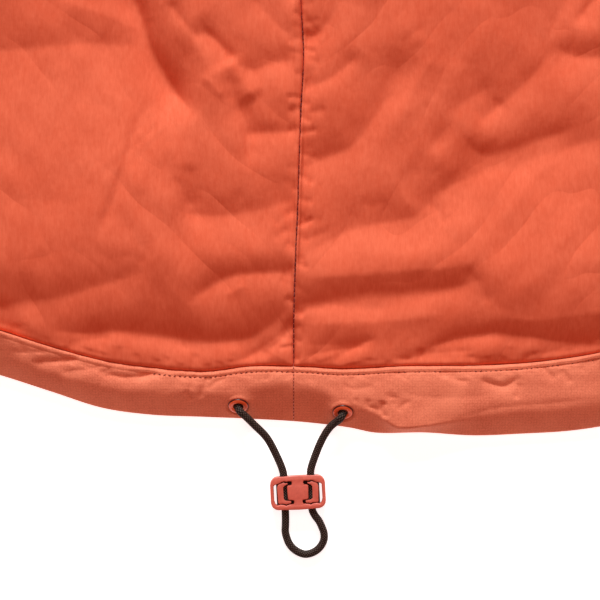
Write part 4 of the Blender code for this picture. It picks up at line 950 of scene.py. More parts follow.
def blended(tree, *parts):
    """Sum of values, each times its share."""
    products = [math_node(tree, "MULTIPLY", value, share) for value, share in parts]
    total = products[0]
    for product in products[1:]:
        total = math_node(tree, "ADD", total, product)
    return total


def stripes(tree, place, axis, pitch):
    """Thin raised threads across one axis."""
    made = node(
        tree, "ShaderNodeTexWave",
        {"Vector": place, "Scale": WAVE_PERIOD / pitch, "Distortion": 0.0},
        wave_type="BANDS", bands_direction=axis, wave_profile="SIN",
    )
    return math_node(tree, "POWER", made.outputs["Fac"], THREAD_SHARPNESS)


def weave(tree, place, pitch):
    """Raised threads across both axes of the cloth."""
    return math_node(tree, "MAXIMUM", *(stripes(tree, place, axis, pitch) for axis in "XY"))


def bump(tree, height, strength, distance, below=None):
    """Bumped normal."""
    inputs = {"Height": height, "Strength": strength, "Distance": distance}
    if below is not None:
        inputs["Normal"] = below
    return node(tree, "ShaderNodeBump", inputs).outputs["Normal"]


def painted(obj, values):
    """Value at each point of a piece, which its material reads to place painted light: a painted
    highlight on cord crowns, painted shade on eyelet rims.
    """
    layer = obj.data.attributes.new("painted_light", "FLOAT", "POINT")
    layer.data.foreach_set("value", np.asarray(values, dtype=np.float32).ravel())


def painted_light(tree):
    """The value painted on a piece, which places its painted light."""
    return node(tree, "ShaderNodeAttribute", attribute_name="painted_light").outputs["Fac"]


def facets(tree, place):
    """Sharp shallow creases that run up and outwards from the middle of the hem."""
    parts = node(tree, "ShaderNodeSeparateXYZ", {0: place}).outputs
    away = math_node(tree, "ABSOLUTE", parts["X"])
    half = math_node(tree, "SIGN", parts["X"])
    both = node(tree, "ShaderNodeCombineXYZ", {"X": away, "Y": parts["Y"], "Z": half}).outputs[0]
    turned = node(
        tree, "ShaderNodeMapping",
        {"Vector": both, "Rotation": (0.0, 0.0, FACET_ANGLE), "Scale": FACET_STRETCH},
        vector_type="TEXTURE",
    ).outputs[0]
    fold = math_node(tree, "SUBTRACT", noise(tree, turned, FACET_SCALE, FACET_DETAIL), 0.5)
    low, high, least = FACET_FADE
    patches = node(tree, "ShaderNodeMapRange", {
        "Value": noise(tree, place, FACET_PATCHES, 1.0),
        "From Min": low, "From Max": high, "To Min": least,
    }).outputs[0]
    return math_node(tree, "MULTIPLY", math_node(tree, "ABSOLUTE", fold), patches)


def satin(name, light, dark):
    """Smooth satin shell cloth with faint streaks and crumples."""
    material, tree, place = shader(
        name, Roughness=0.66, Specular_IOR_Level=0.1, Sheen_Weight=0.03, Sheen_Roughness=0.45,
        Sheen_Tint=(1.0, 0.62, 0.4, 1.0), Specular_Tint=CLOTH_GLOSS,
    )
    cloud = noise(tree, place, 34.0, 3.0)
    slub = noise(tree, place, 620.0, 3.0, (1.0, 0.35, 0.35))
    thread = noise(tree, place, 2600.0, 2.0, (1.0, 0.10, 0.10))
    crumple = noise(tree, place, 85.0, 4.0, (1.0, 0.7, 0.3))
    value = blended(tree, (cloud, 0.4), (slub, 0.35), (thread, 0.25))
    normal = bump(tree, facets(tree, place), 1.0, FACET_HEIGHT)
    normal = bump(tree, crumple, 0.6, 0.0012, normal)
    normal = bump(tree, slub, 0.35, 0.00022, normal)
    normal = bump(tree, thread, 0.25, 0.00012, normal)
    return dressed(material, value, (0.38, 0.62), dark, light, normal)


def ripstop(name, light, dark):
    """Ripstop cloth with a square grid of thicker threads."""
    material, tree, place = shader(
        name, Roughness=0.68, Specular_IOR_Level=0.12, Sheen_Weight=0.03, Sheen_Roughness=0.5,
        Sheen_Tint=(1.0, 0.66, 0.5, 1.0), Specular_Tint=CLOTH_GLOSS,
    )
    grid = weave(tree, place, RIPSTOP_PITCH)
    cloud = noise(tree, place, 60.0, 3.0)
    speck = noise(tree, place, 1500.0, 2.0)
    value = blended(tree, (cloud, 0.4), (speck, 0.6), (grid, -0.09))
    normal = bump(tree, noise(tree, place, 170.0, 3.0), 0.35, 0.0007)
    normal = bump(tree, grid, 0.22, 0.0001, normal)
    return dressed(material, value, (0.22, 0.60), dark, light, normal)


def moulded(name, light, dark, roughness):
    """Moulded plastic with a fine grain."""
    material, tree, place = shader(name, Roughness=roughness, Specular_IOR_Level=0.45)
    normal = bump(tree, noise(tree, place, 1400.0, 3.0), 0.2, 0.0001)
    return dressed(material, noise(tree, place, 700.0, 3.0), (0.3, 0.7), dark, light, normal)


def woven(name, light, dark, pitch):
    """Matt woven surface."""
    material, tree, place = shader(
        name, Roughness=0.75, Specular_IOR_Level=0.3, Sheen_Weight=0.2, Sheen_Roughness=0.4,
    )
    speck = noise(tree, place, 1800.0, 2.0)
    value = blended(tree, (weave(tree, place, pitch), 0.4), (speck, 0.6))
    return dressed(material, value, (0.25, 0.75), dark, light, bump(tree, value, 0.4, 0.0001))


def braided(name, light, dark):
    """Cord braid with a painted highlight on the crowns of its strands."""
    material, tree, place = shader(name, Roughness=0.6, Specular_IOR_Level=0.1)
    value = blended(tree, (painted_light(tree), 1.0), (noise(tree, place, 1500.0, 2.0), 0.3))
    return dressed(material, value, (0.42, 0.64), dark, light)


def enamel(name, light, dark):
    """Enamelled metal with its rims darkened as painted shade."""
    material, tree, place = shader(name, Roughness=0.34, Specular_IOR_Level=0.5)
    rim_shade_and_mottle = blended(tree, (painted_light(tree), 1.0), (noise(tree, place, 700.0, 3.0), 0.3))
    normal = bump(tree, noise(tree, place, 900.0, 3.0), 0.25, 0.0001)
    return dressed(material, rim_shade_and_mottle, (0.45, 0.75), dark, light, normal)


def brushed(name, light, dark):
    """Zinc alloy with worn, brushed patches."""
    material, tree, place = shader(name, Metallic=1.0, Roughness=0.35)
    value = noise(tree, place, 500.0, 3.0, (1.0, 0.1, 1.0))
    return dressed(material, value, (0.3, 0.7), dark, light, bump(tree, value, 0.2, 0.00005))


def placed(name, data, at=(0.0, 0.0, 0.0)):
    """Object of the scene at a place."""
    obj = bpy.data.objects.new(name, data)
    obj.location = at
    bpy.context.scene.collection.objects.link(obj)
    return obj


def edited(mesh, operation):
    """Mesh after one bmesh operation."""
    bm = bmesh.new()
    bm.from_mesh(mesh)
    operation(bm)
    bm.to_mesh(mesh)
    bm.free()
    return mesh


def grid_faces(rows, columns, start=0, wrap=False):
    """Quads of a grid of points, closed across its columns when wrapped."""
    last = columns if wrap else columns - 1
    i, k = np.meshgrid(np.arange(rows - 1), np.arange(last), indexing="ij")
    m = (k + 1) % columns
    quads = (i * columns + k, i * columns + m, (i + 1) * columns + m, (i + 1) * columns + k)
    return np.stack(quads, axis=-1).reshape(-1, 4) + start


def capped(rows, sides, turned=True):
    """Faces of a tube of rings with both ends closed."""
    first = list(range(sides))
    last = list(range((rows - 1) * sides, rows * sides))
    return grid_faces(rows, sides, wrap=True).tolist() + [first[::-1] if turned else first, last]


def show(mesh, name, material, slot, nodes=(), shade=True):
    """Shown piece of a mesh, riding on the garment in place of the nodes it stands for."""
    mesh.materials.clear()
    mesh.materials.append(material)
    mesh.polygons.foreach_set("use_smooth", [shade] * len(mesh.polygons))
    obj = placed(name, mesh)
    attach(obj, "garment")
    if nodes:
        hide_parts(*nodes)
    return obj


def build(points, faces, name, material, slot, nodes=(), turn=True, **options):
    """Piece from millimetre points and faces."""
    mesh = bpy.data.meshes.new(name)
    faces = faces if isinstance(faces, list) else faces.tolist()
    mesh.from_pydata(world(points).tolist(), [], faces)
    if turn:
        edited(mesh, lambda bm: bmesh.ops.recalc_face_normals(bm, faces=bm.faces[:]))
    return show(mesh, name, material, slot, nodes, **options)


def slab(name, x, y, low, high):
    """Closed padded panel over a plan grid, standing for the node of its name."""
    rows, columns = x.shape
    count = rows * columns
    points = [np.stack((x, y, z), axis=-1).reshape(-1, 3) for z in (high, low)]
    index = np.arange(count).reshape(rows, columns)
    rim = np.concatenate((index[0], index[1:, -1], index[-1, -2::-1], index[-2:0:-1, 0]))
    after = np.roll(rim, -1)
    sides = np.stack((rim, rim + count, after + count, after), axis=1)
    faces = np.concatenate((grid_faces(rows, columns), grid_faces(rows, columns, count), sides))
    obj = build(np.concatenate(points), faces, name + "_shell", SHELL, "shell", [name])
    return obj


def waves(x, y, seed, pitch, height):
    """Gentle uneven undulation."""
    pick = np.random.RandomState(seed)
    total = np.zeros_like(x)
    for _ in range(WAVE_COUNT):
        angle, phase = pick.uniform(0, 2 * math.pi, 2)
        length = pitch * pick.uniform(*WAVE_LENGTHS)
        lean = np.cos(angle) * x + np.sin(angle) * y
        drift = WAVE_DRIFT[0] * x + WAVE_DRIFT[1] * y
        total = total + np.sin(2 * math.pi * lean / length + phase + drift)
    return height * total / WAVE_COUNT ** 0.5


def puckers(line, out, seed, gathers):
    """Short gathers that leave a seam on one side, uneven in place, length and depth."""
    count, reach, depth = gathers
    pick = np.random.RandomState(seed)
    steps = pick.uniform(*PUCKER_STEPS, count)
    folds = []
    for share in np.cumsum(steps) / np.sum(steps):
        x, y = line(share)
        slant = pick.uniform(*PUCKER_SLANTS)
        length = reach * pick.uniform(*PUCKER_REACHES)
        tip = (x + (out[0] - out[1] * slant) * length, y + (out[1] + out[0] * slant) * length)
        deep = depth * pick.uniform(*PUCKER_DEPTHS)
        wide = pick.uniform(*PUCKER_WIDTHS)
        start = (x - PUCKER_LEAD * out[0], y - PUCKER_LEAD * out[1])
        folds.append(Fold((start, (x, y), tip), deep, wide * PUCKER_LEAN, wide))
    return tuple(folds)


def centre_line(share):
    """Point of the centre seam."""
    y = CENTRE_SPAN[0] + share * (CENTRE_SPAN[1] - CENTRE_SPAN[0])
    return float(along(CENTRE_SEAM, y)), y


def hem_line(side, below=0.0):
    """Line along half of the hem seam of the back, or a distance below it."""
    return lambda share: (
        side * share * HALF_HEM, float(back_hem(side * share * HALF_HEM)) - below,
    )


def back_height(x, y, folds, small):
    """Upper surface of a back panel with all of its folds."""
    edges = body_edges(x, y, back_neck, back_hem, SEAM_HEM)
    centre = np.abs(x - along(CENTRE_SEAM, y))
    edges.append((centre, SEAM_CENTRE))
    loft = np.minimum.reduce([filled(d, seam, BACK_LOFT) for d, seam in edges])
    fade = np.prod([smooth(d / reach) for (d, _), reach in zip(edges, FOLD_FADES)], axis=0)
    far = smooth((np.hypot(x, FAR_FLATNESS * (y - FAR_Y)) - FAR_RADIUS) / FAR_BLEND)
    plain = base_z(x, y, TAIL_FALL) + loft
    top = plain + fade * (fold_depth(folds, x, y) + far * waves(x, y, *BACK_WAVES))
    rim = CENTRE_DIP[0] * (1.0 - swell(centre / CENTRE_DIP[1]))
    hem = HEM_DIP[0] * (1.0 - swell((y - back_hem(x)) / HEM_DIP[1]))
    near = smooth((NEAR_X - np.abs(x)) / NEAR_BLEND)
    crumples = fold_depth(small, x, y) + waves(x, y, *CRUMPLE_WAVES)
    top = top + near * crumples * smooth(edges[1][0] / FINE_FADE) - rim - hem
    over = top - base_z(x, y) - THIN
    return top + np.where(over < 0.0, THIN_SOFT * (np.exp(over / THIN_SOFT) - 1.0) - over, 0.0)


def body_panels():
    """Back and front halves."""
    tops = np.interp(FINE_COLUMNS, BACK_COLUMNS, BACK_TOP_X)
    plain_tops = np.interp(PLAIN_COLUMNS, FRONT_COLUMNS, FRONT_TOP_X)
    for side, word, folds, small in (
        (-1, "left", LEFT_FOLDS, FINE_LEFT), (1, "right", RIGHT_FOLDS, FINE_RIGHT),
    ):
        x, y = panel_plan(
            side, FINE_COLUMNS, FINE_ROWS, BACK_ROW_SPAN, tops,
            lambda h, side=side: along(CENTRE_SEAM, h) + side * SEAM_GAP, back_hem, back_neck,
            FINE_ARMHOLE,
        )
        small = small + puckers(centre_line, (side, 0.0), CENTRE_SEED + side, CENTRE_GATHERS)
        small = small + puckers(hem_line(side), (0.0, 1.0), HEM_SEED + side, HEM_GATHERS)
        slab("back_" + word, x, y, base_z(x, y), back_height(x, y, folds, small))
        x, y = panel_plan(
            side, PLAIN_COLUMNS, PLAIN_ROWS, FRONT_ROW_SPAN, plain_tops,
            lambda h, side=side: side * FRONT_EDGE_X + 0 * h, front_hem, front_neck, FINE_ARMHOLE,
        )
        low = front_low(x, y)
        inner = smooth((FRONT_TOP - low) / 4.0) * smooth((np.abs(x) - 24.0) / 14.0)
        low = low + inner * np.maximum(waves(x, y, *FRONT_WAVES), 0.0)
        slab("front_" + word, x, y, low, zip_top(x))


def casing_height(x, y):
    """Height of the hem casing over its underside, with its edge, stitch line and creases."""
    from_seam = back_hem(x) - SEAM_GAP - y
    from_edge = y - along(HEM_LOW, x)
    plain = band_height(from_seam, from_edge)
    share = np.clip(from_edge / along(EDGE_FALL, x), 0.0, 1.0 + EDGE_KNEE)
    knee = share - np.maximum(share - 1.0 + EDGE_KNEE, 0.0) ** 2 / (4.0 * EDGE_KNEE)
    curved = np.sin(np.clip(from_edge / EDGE_ROUND, 0.0, 1.0) * math.pi / 2) ** EDGE_POWER
    blend = np.clip(along(EDGE_SOFT, x), 0.0, 1.0)
    edge = BAND_EDGE + (BAND_LOFT - BAND_EDGE) * ((1.0 - blend) * knee + blend * curved)
    shaped = np.minimum(filled(from_seam, BAND_SEAM, BAND_LOFT), edge)
    rib = np.cos(2 * math.pi * x / STITCH_PITCH + RIB_DRIFT[0] * np.sin(RIB_DRIFT[1] * x))
    low, start, reach = SEWING_FADE
    sharp = low + (1.0 - low) * smooth((x - start) / reach)
    for height, ripple, at, width in (CASING_RIDGE, CASING_GROOVE):
        line = np.exp(-((from_seam - at) / width) ** 2)
        shaped = shaped + sharp * (height + ripple * rib) * line
    soft = smooth(from_edge / BAND_FADES[0]) * smooth(from_seam / BAND_FADES[1])
    small = puckers(hem_line(-1, BAND_GATHER_DROP), (0.0, -1.0), BAND_SEEDS[0], BAND_GATHERS)
    small += puckers(hem_line(1, BAND_GATHER_DROP), (0.0, -1.0), BAND_SEEDS[1], BAND_GATHERS)
    creases = fold_depth(BAND_FOLDS + small, x, y) + waves(x, y, *BAND_WAVES)
    deep, width, power, fade = BAND_SEAM_DIP
    seam = deep * np.exp(-(np.abs(x - along(CENTRE_SEAM, y)) / width) ** power)
    shaped = shaped + soft * creases - seam * smooth(from_edge / fade)
    near = np.maximum.reduce([
        np.exp(-(np.hypot(x - a, y - b) / EYELET_PRESS) ** 4) for a, b in EYELETS
    ])
    return near * plain + (1.0 - near) * shaped


def seated(points):
    """Casing points pressed down under the eyelets, and their distances from an eyelet's axis."""
    least = np.full(points.shape[:-1], FAR_AWAY)
    for place in EYELETS:
        centre, normal = eyelet_frame(place)
        off = points - centre
        height = off @ normal
        radius = np.linalg.norm(off - height[..., None] * normal, axis=-1)
        upper = height > SEAT_LOWEST
        level = SEAT_LEVEL + (height - SEAT_LEVEL) * smooth((radius - SEAT_RADIUS) / SEAT_BLEND)
        moved = np.where(upper & (radius < SEAT_REACH), level - height, 0.0)
        points = points + moved[..., None] * normal
        least = np.where(upper, np.minimum(least, radius), least)
    return points, least


def inner_wall(rings):
    """Rings of a folded cloth moved inwards by its thickness."""
    off = rings - rings.mean(axis=1, keepdims=True)
    off[..., 0] = 0.0
    return rings - CLOTH * off / np.maximum(np.linalg.norm(off, axis=-1, keepdims=True), 1.0)


def tube(name, node_name, material, slot, outer, inner, clear=None):
    """Closed skin through outer rings and back through inner ones, open round the eyelets."""
    rows, count = outer.shape[:2]
    far = rows * count
    points = np.concatenate((outer.reshape(-1, 3), inner.reshape(-1, 3)))
    faces = np.concatenate((
        grid_faces(rows, count, wrap=True), grid_faces(rows, count, far, wrap=True)[:, ::-1],
    ))
    if clear is not None:
        clear = np.tile(clear.reshape(-1), 2)
        faces = faces[clear[faces].mean(axis=1) > HOLE_RADIUS]
    for start in (0, far - count):
        k = start + np.arange(count)
        m = np.roll(k, -1)
        faces = np.concatenate((faces, np.stack((k, m, m + far, k + far), axis=1)))
    return build(points, faces, name, material, slot, [node_name])


def back_bands():
    """Hem casings of the back: folded cloth tubes with holes for the cord."""
    for side, word in ((-1, "left"), (1, "right")):
        inner = float(along(CENTRE_SEAM, back_hem(0.0))) + side * SEAM_GAP
        x = (inner + CASING_COLUMNS * (side * HALF_HEM - inner))[:, None]
        high = back_hem(x) - SEAM_GAP
        width = high - along(HEM_LOW, x)
        y = high - CASING_DOWN * width
        wide = np.broadcast_to(x, y.shape)
        fill = filled(HALF_HEM + 1.0 - np.abs(x), CASING_SIDE, 1.0)
        top = np.stack((wide, y, base_z(wide, y) + casing_height(wide, y) * fill), axis=-1)
        top, clear = seated(top)
        y = high - CASING_UNDER * width
        wide = np.broadcast_to(x, y.shape)
        lift = CASING_LIFT[0] * (1.0 - swell((1.0 - CASING_UNDER) * width / CASING_LIFT[1]))
        bottom = np.stack((wide, y, base_z(wide, y) + lift), axis=-1)
        rings = np.concatenate((top, bottom), axis=1)
        clear = np.concatenate((clear, np.full(y.shape, FAR_AWAY)), axis=1)
        obj = tube(
            "hem_casing_back_" + word, "hem_band_back_" + word, RIPSTOP, "ripstop", rings,
            inner_wall(rings), clear,
        )


def front_bands():
    """Hem bands of the front."""
    down, inset, under = np.array(FRONT_PROFILE).T
    for side, word in ((-1, "left"), (1, "right")):
        x = side * (FRONT_EDGE_X + FRONT_BAND_COLUMNS * (HALF_HEM - FRONT_EDGE_X))[:, None]
        high = front_hem(x) - GAP
        y = high - down * (high - along(FRONT_LOW, x))
        wide = np.broadcast_to(x, y.shape)
        upper = np.minimum(zip_top(wide), FRONT_TOP - inset)
        floor = FRONT_TOP - filled(HALF_HEM + 1.0 - np.abs(x), FRONT_BAND_SIDE, FRONT_TOP)
        height, turn, drift, slow = FRONT_GATHERS
        gathers = height * (1.0 + np.sin(wide * turn + drift * np.sin(wide * slow)))
        lower = np.maximum(np.maximum(zip_low(wide), floor), inset + gathers * (down < 0.9))
        outer = np.stack((wide, y, np.where(under > 0, lower, upper)), axis=-1)
        obj = tube(
            "hem_casing_front_" + word, "hem_band_front_" + word, RIPSTOP, "ripstop", outer,
            inner_wall(outer),
        )


def tube_rings(plan, thickness, side, raised):
    """Outer and slit rings of a flattened tube lying on the table."""
    x = plan[..., 0] * side
    y = plan[..., 1]
    inside = np.minimum(thickness / thickness.max(axis=1, keepdims=True), 1.0)
    up = PART_Z + thickness + raised(x, y) * smooth((inside - TUBE_FLANK) / TUBE_FLANK)
    top = np.stack((x, y, up), axis=-1)
    bottom = np.stack((x, y, PART_Z - thickness), axis=-1)[:, ::-1]
    outer = np.concatenate((top, bottom[:, 1:-1]), axis=1)
    spread = np.linspace(0.0, 1.0, plan.shape[1])
    shares = np.linspace(SLEEVE_SLIT[0], SLEEVE_SLIT[1], plan.shape[1])
    slit = np.stack(
        [np.stack([np.interp(shares, spread, row) for row in part]) for part in (x, y)], axis=-1,
    )
    half = np.where((spread > 0) & (spread < 1), SKIN, 0.0)
    half = np.broadcast_to(half, x.shape)[..., None]
    high = np.concatenate((slit, PART_Z + half), axis=-1)
    low = np.concatenate((slit, PART_Z - half), axis=-1)[:, ::-1]
    return outer, np.concatenate((high, low[:, 1:-1]), axis=1)


def sleeves():
    """Padded sleeves and their cuffs."""
    across = np.concatenate((SLEEVE_EDGE, np.linspace(0.115, 0.885, 30), 1.0 - SLEEVE_EDGE[::-1]))
    plan = sleeve_plan(SLEEVE_STEPS, across)
    thick = tube_thickness(plan, SEAM_ARMHOLE, SLEEVE_SEAM_END, PART_Z)
    lead = plan[-1] - plan[-2]
    lead /= np.hypot(lead[:, 0], lead[:, 1])[:, None]
    reaches = np.concatenate(((GAP,), np.linspace(1.2, CUFF_WIDTH - 1.0, 20), (CUFF_WIDTH,)))
    cuff_plan = np.array([plan[-1] + lead * reach for reach in reaches])
    cuff_thick = tube_thickness(cuff_plan, SLEEVE_SEAM_END, CUFF_END, CUFF_LOFT)
    shares = np.linspace(0, 1, 60)
    armhole_x, armhole_y = armhole_points(shares, GAP).T

    def armhole_line(share):
        """Point of the armhole seam."""
        return side * np.interp(share, shares, armhole_x), np.interp(share, shares, armhole_y)

    def creased(x, y):
        """Folds, gathers and waves of the sleeve."""
        return fold_depth(folds + gathers, x, y) + waves(x, y, seed, *SLEEVE_WAVES)

    def ribbed(x, y):
        """Crosswise ribs of the cuff."""
        lean = x * side * CUFF_LEAN[0] + y * CUFF_LEAN[1]
        height, turn, drift, slow = CUFF_RIBS
        return height * np.sin(lean * turn + drift * np.sin(y * slow))

    for side, word, folds, seed in (
        (-1, "left", LEFT_SLEEVE_FOLDS, 41), (1, "right", RIGHT_SLEEVE_FOLDS, 47),
    ):
        out = (side * SLEEVE_GATHER_OUT[0], SLEEVE_GATHER_OUT[1])
        gathers = puckers(armhole_line, out, seed, SLEEVE_GATHERS)
        outer, inner = tube_rings(plan, thick, side, creased)
        obj = tube("sleeve_" + word + "_shell", "sleeve_" + word, SHELL, "shell", outer, inner)
        outer, inner = tube_rings(cuff_plan, cuff_thick, side, ribbed)
        obj = tube("cuff_" + word + "_cloth", "cuff_" + word, RIPSTOP, "ripstop", outer, inner)


def collar_route():
    """Rings of the right half of the collar: place, direction of its wall, share of its back."""
    radius = 0.5 * (COLLAR_HIGH_Z - COLLAR_LOW_Z)
    fold_x = NECK_HALF - COLLAR_HALF_WALL - radius
    route = [(x, COLLAR_LOW_Z, 0.0, -1.0, 0.0) for x in COLLAR_FRONT_STEPS]
    for share in np.linspace(0.0, 1.0, 25):
        angle = math.pi * (share - 0.5)
        sin, cos = math.sin(angle), math.cos(angle)
        route.append((fold_x + radius * cos, COLLAR_MIDDLE_Z + radius * sin, cos, sin, share))
    return route + [(x, COLLAR_HIGH_Z, 0.0, 1.0, 1.0) for x in COLLAR_BACK_STEPS]


def collar():
    """Padded stand collar, folded flat at both sides and open at the zip."""
    route = collar_route()
    route += [(-x, z, -nx, nz, back) for x, z, nx, nz, back in reversed(route)]
    section = COLLAR_SECTION + tuple((share, -out) for share, out in reversed(COLLAR_SECTION))
    rings = []
    for x, z, nx, nz, back in route:
        share = float(smooth(back))
        tilt = (x / NECK_HALF) ** 2
        level = COLLAR_FRONT_TOP + share * (COLLAR_BACK_TOP - COLLAR_FRONT_TOP)
        high = level + (COLLAR_SIDE_TOP - level) * tilt
        ring = []
        for rise, out in section:
            at_x = x + nx * out
            at_z = z + nz * out
            front = neck_line(FRONT_TOP_X, front_neck, at_x)
            behind = neck_line(BACK_TOP_X, back_neck, at_x)
            low = front if back == 0.0 else behind if back == 1.0 else max(front, behind)
            if back == 0.0:
                at_z = min(max(at_z, float(zip_low(at_x))), float(zip_top(at_x)))
            ring.append((at_x, low + rise * (high - low), at_z))
        rings.append(ring)
    rings = np.array(rings)
    flat = rings.reshape(-1, 3)
    above = flat[:, 2] - COLLAR_MIDDLE_Z
    flat[:, 2] += np.where(above > COLLAR_FLANK, waves(flat[:, 0], flat[:, 1], *COLLAR_WAVES), 0.0)
    faces = capped(*rings.shape[:2], turned=False)
    obj = build(flat, faces, "collar_shell", SHELL, "shell", ["collar"])


def strand(route, size):
    """Points and faces of a round strand along a route, from its radii round each point."""
    rows, sides = size.shape
    ahead = directions(route)
    across = np.zeros_like(route)
    first = np.cross(ahead[0], (0.0, 0.0, 1.0))
    across[0] = first / np.linalg.norm(first)
    for k in range(1, rows):
        v = across[k - 1] - (across[k - 1] @ ahead[k]) * ahead[k]
        across[k] = v / np.linalg.norm(v)
    other = np.cross(ahead, across)
    turn = np.linspace(0, 2 * math.pi, sides, endpoint=False)[None, :, None]
    ring = np.cos(turn) * across[:, None] + np.sin(turn) * other[:, None]
    points = route[:, None] + size[..., None] * ring
    return points.reshape(-1, 3), capped(rows, sides)


def braid(turn, travel):
    """Crowns of a braid: two families of strands that pass over and under each other."""
    a = BRAID_STRANDS * turn + travel * BRAID_TWIST
    b = BRAID_STRANDS * turn - travel * BRAID_TWIST
    over = 0.5 + 0.5 * np.sin(0.5 * (a + b)) * np.sin(0.5 * (a - b))
    return np.maximum(np.abs(np.cos(a / 2)) * over, np.abs(np.cos(b / 2)) * (1 - over))


def drawcord():
    """Braided cord along the route of the drawcord."""
    route = resampled(cord_route(), CORD_STATIONS)
    turn = np.linspace(0, 2 * math.pi, CORD_SIDES, endpoint=False)
    crowns = braid(turn[None, :], travelled(route)[:, None])
    skin, faces = strand(route, CORD_DIAMETER / 2 + BRAID_RELIEF * crowns)
    obj = build(skin, faces, "drawcord_braid", CORD, "cord", ["drawcord"], turn=False)
    # The crowns also place the braid's painted highlight
    painted(obj, crowns)


def eyelets():
    """Rolled, enamelled eyelets."""
    radius, height = np.array(EYELET_PROFILE).T
    turn = np.linspace(0, 2 * math.pi, EYELET_SIDES, endpoint=False)[:, None]
    count = EYELET_SIDES * len(EYELET_PROFILE)
    unshaded = (radius > EYELET_UNSHADED[0]) & (radius < EYELET_UNSHADED[1])
    for place, word in zip(EYELETS, ("left", "right")):
        centre, normal = eyelet_frame(place)
        across = np.array((1.0, 0.0, 0.0))
        ring = np.cos(turn) * across + np.sin(turn) * np.cross(normal, across)
        points = centre + radius[:, None] * ring[:, None] + height[:, None] * normal
        faces = grid_faces(EYELET_SIDES + 1, len(EYELET_PROFILE), wrap=True) % count
        obj = build(
            points.reshape(-1, 3), faces, "eyelet_ring_" + word, RING, "eyelet", ["eyelet_" + word],
        )
        # The rims outside the unshaded band take the enamel's dark colour as painted shade
        painted(obj, np.tile(unshaded.astype(float), EYELET_SIDES))


def plate(outlines, low, high, edge):
    """Flat moulding with rounded rims from closed outlines, the first outside the others."""
    curve = bpy.data.curves.new("plate", "CURVE")
    curve.dimensions = "2D"
    curve.fill_mode = "BOTH"
    curve.extrude = (0.5 * (high - low) - edge) * MM
    curve.bevel_depth = edge * MM
    curve.bevel_resolution = 2
    curve.offset = -edge * MM
    for outline in outlines:
        spline = curve.splines.new("POLY")
        spline.points.add(len(outline) - 1)
        for point, (x, y) in zip(spline.points, outline):
            point.co = (x * MM, y * MM, 0.0, 1.0)
        spline.use_cyclic_u = True
    obj = placed("plate", curve)
    bpy.context.view_layer.update()
    mesh = bpy.data.meshes.new_from_object(obj)
    bpy.data.objects.remove(obj)
    edited(mesh, lambda bm: bmesh.ops.remove_doubles(bm, verts=bm.verts[:], dist=WELD))
    mesh.transform(Matrix.Translation((0.0, 0.0, 0.5 * (low + high) * MM)))
    mesh.transform(LOCK_PLACE)
    return mesh


def mirrored(outline):
    """Outline on the right of the lock."""
    return tuple((-x, y) for x, y in reversed(outline))


def bored(obj, x):
    """Cut one bore for the cord through the lock."""
    at = LOCK_PLACE @ Matrix.Translation((x * MM, 0.0, 0.0)) @ Matrix.Rotation(math.pi / 2, 4, "X")
    cutter = placed("bore", edited(
        bpy.data.meshes.new("bore"),
        lambda bm: bmesh.ops.create_cone(
            bm, cap_ends=True, segments=32, radius1=LOCK_BORE * MM, radius2=LOCK_BORE * MM,
            depth=LOCK_BORE_LENGTH * MM, matrix=at,
        ),
    ))
    modifier = obj.modifiers.new("bore", "BOOLEAN")
    modifier.operation = "DIFFERENCE"
    modifier.solver = "EXACT"
    modifier.object = cutter
    bpy.context.view_layer.update()
    ready = obj.evaluated_get(bpy.context.evaluated_depsgraph_get())
    mesh = bpy.data.meshes.new_from_object(ready)
    obj.modifiers.clear()
    obj.data = mesh
    bpy.data.objects.remove(cutter)


def cord_lock():
    """Flat lock with its windows, slots and hooked jaws."""
    depth = LOCK_SIZE[2] / 2
    outlines = (lock_outline(LOCK_BULGE, LOCK_CORNER), LOCK_OPENING, mirrored(LOCK_OPENING))
    mesh = plate(outlines, -depth, depth, LOCK_EDGE)
    obj = show(mesh, "cord_lock_frame_moulding", LOCK, "lock", ["cord_lock_frame"])
    for side in (-1, 1):
        bored(obj, side * LOCK_BORE_X)
    # Floor under the slots, near black as painted shade inside the lock
    mesh = plate((LOCK_BASE,), -depth, -depth + LOCK_BASE_WALL, LOCK_BASE_EDGE)
    show(mesh, "cord_lock_shaded_floor", LOCK_FLOOR_SHADE, "lock")
    for word, outline in (("left", LOCK_JAW), ("right", mirrored(LOCK_JAW))):
        name = "cord_lock_jaw_" + word
        show(plate((outline,), *LOCK_JAW_FORM), name + "_moulding", LOCK, "lock", [name])


def stitches(name, x, y, z, thread, lean=(0.0, 0.0), upright=True):
    """Row of short thread stitches as one piece, leaning by turns to either side."""
    places = np.stack((x, y, z), axis=1)
    headings = directions(places)
    normals = np.tile((0.0, 0.0, 1.0), (len(places), 1))
    if not upright:
        normals = np.cross((1.0, 0.0, 0.0), headings)
    leans = np.where(np.arange(len(places)) % 2 == 0, *lean)[:, None]
    headings = headings + leans * np.cross(normals, headings)
    headings /= np.linalg.norm(headings, axis=1)[:, None]
    across = np.cross(normals, headings)
    length, width = thread
    turns = np.linspace(0, 2 * math.pi, STITCH_SIDES, endpoint=False)
    ball = np.array([
        (share * length / 2, size * width / 2 * math.cos(turn), size * width / 2 * math.sin(turn))
        for share, size in STITCH_FORM for turn in turns
    ])[None, :, :, None]
    points = places[:, None] + ball[:, :, 0] * headings[:, None]
    points = points + ball[:, :, 1] * across[:, None] + ball[:, :, 2] * normals[:, None]
    shape = capped(len(STITCH_FORM), STITCH_SIDES)
    count = len(STITCH_FORM) * STITCH_SIDES
    faces = [[index + count * k for index in face] for k in range(len(places)) for face in shape]
    build(points.reshape(-1, 3), faces, name, SHADED_THREAD, "shell", turn=False)


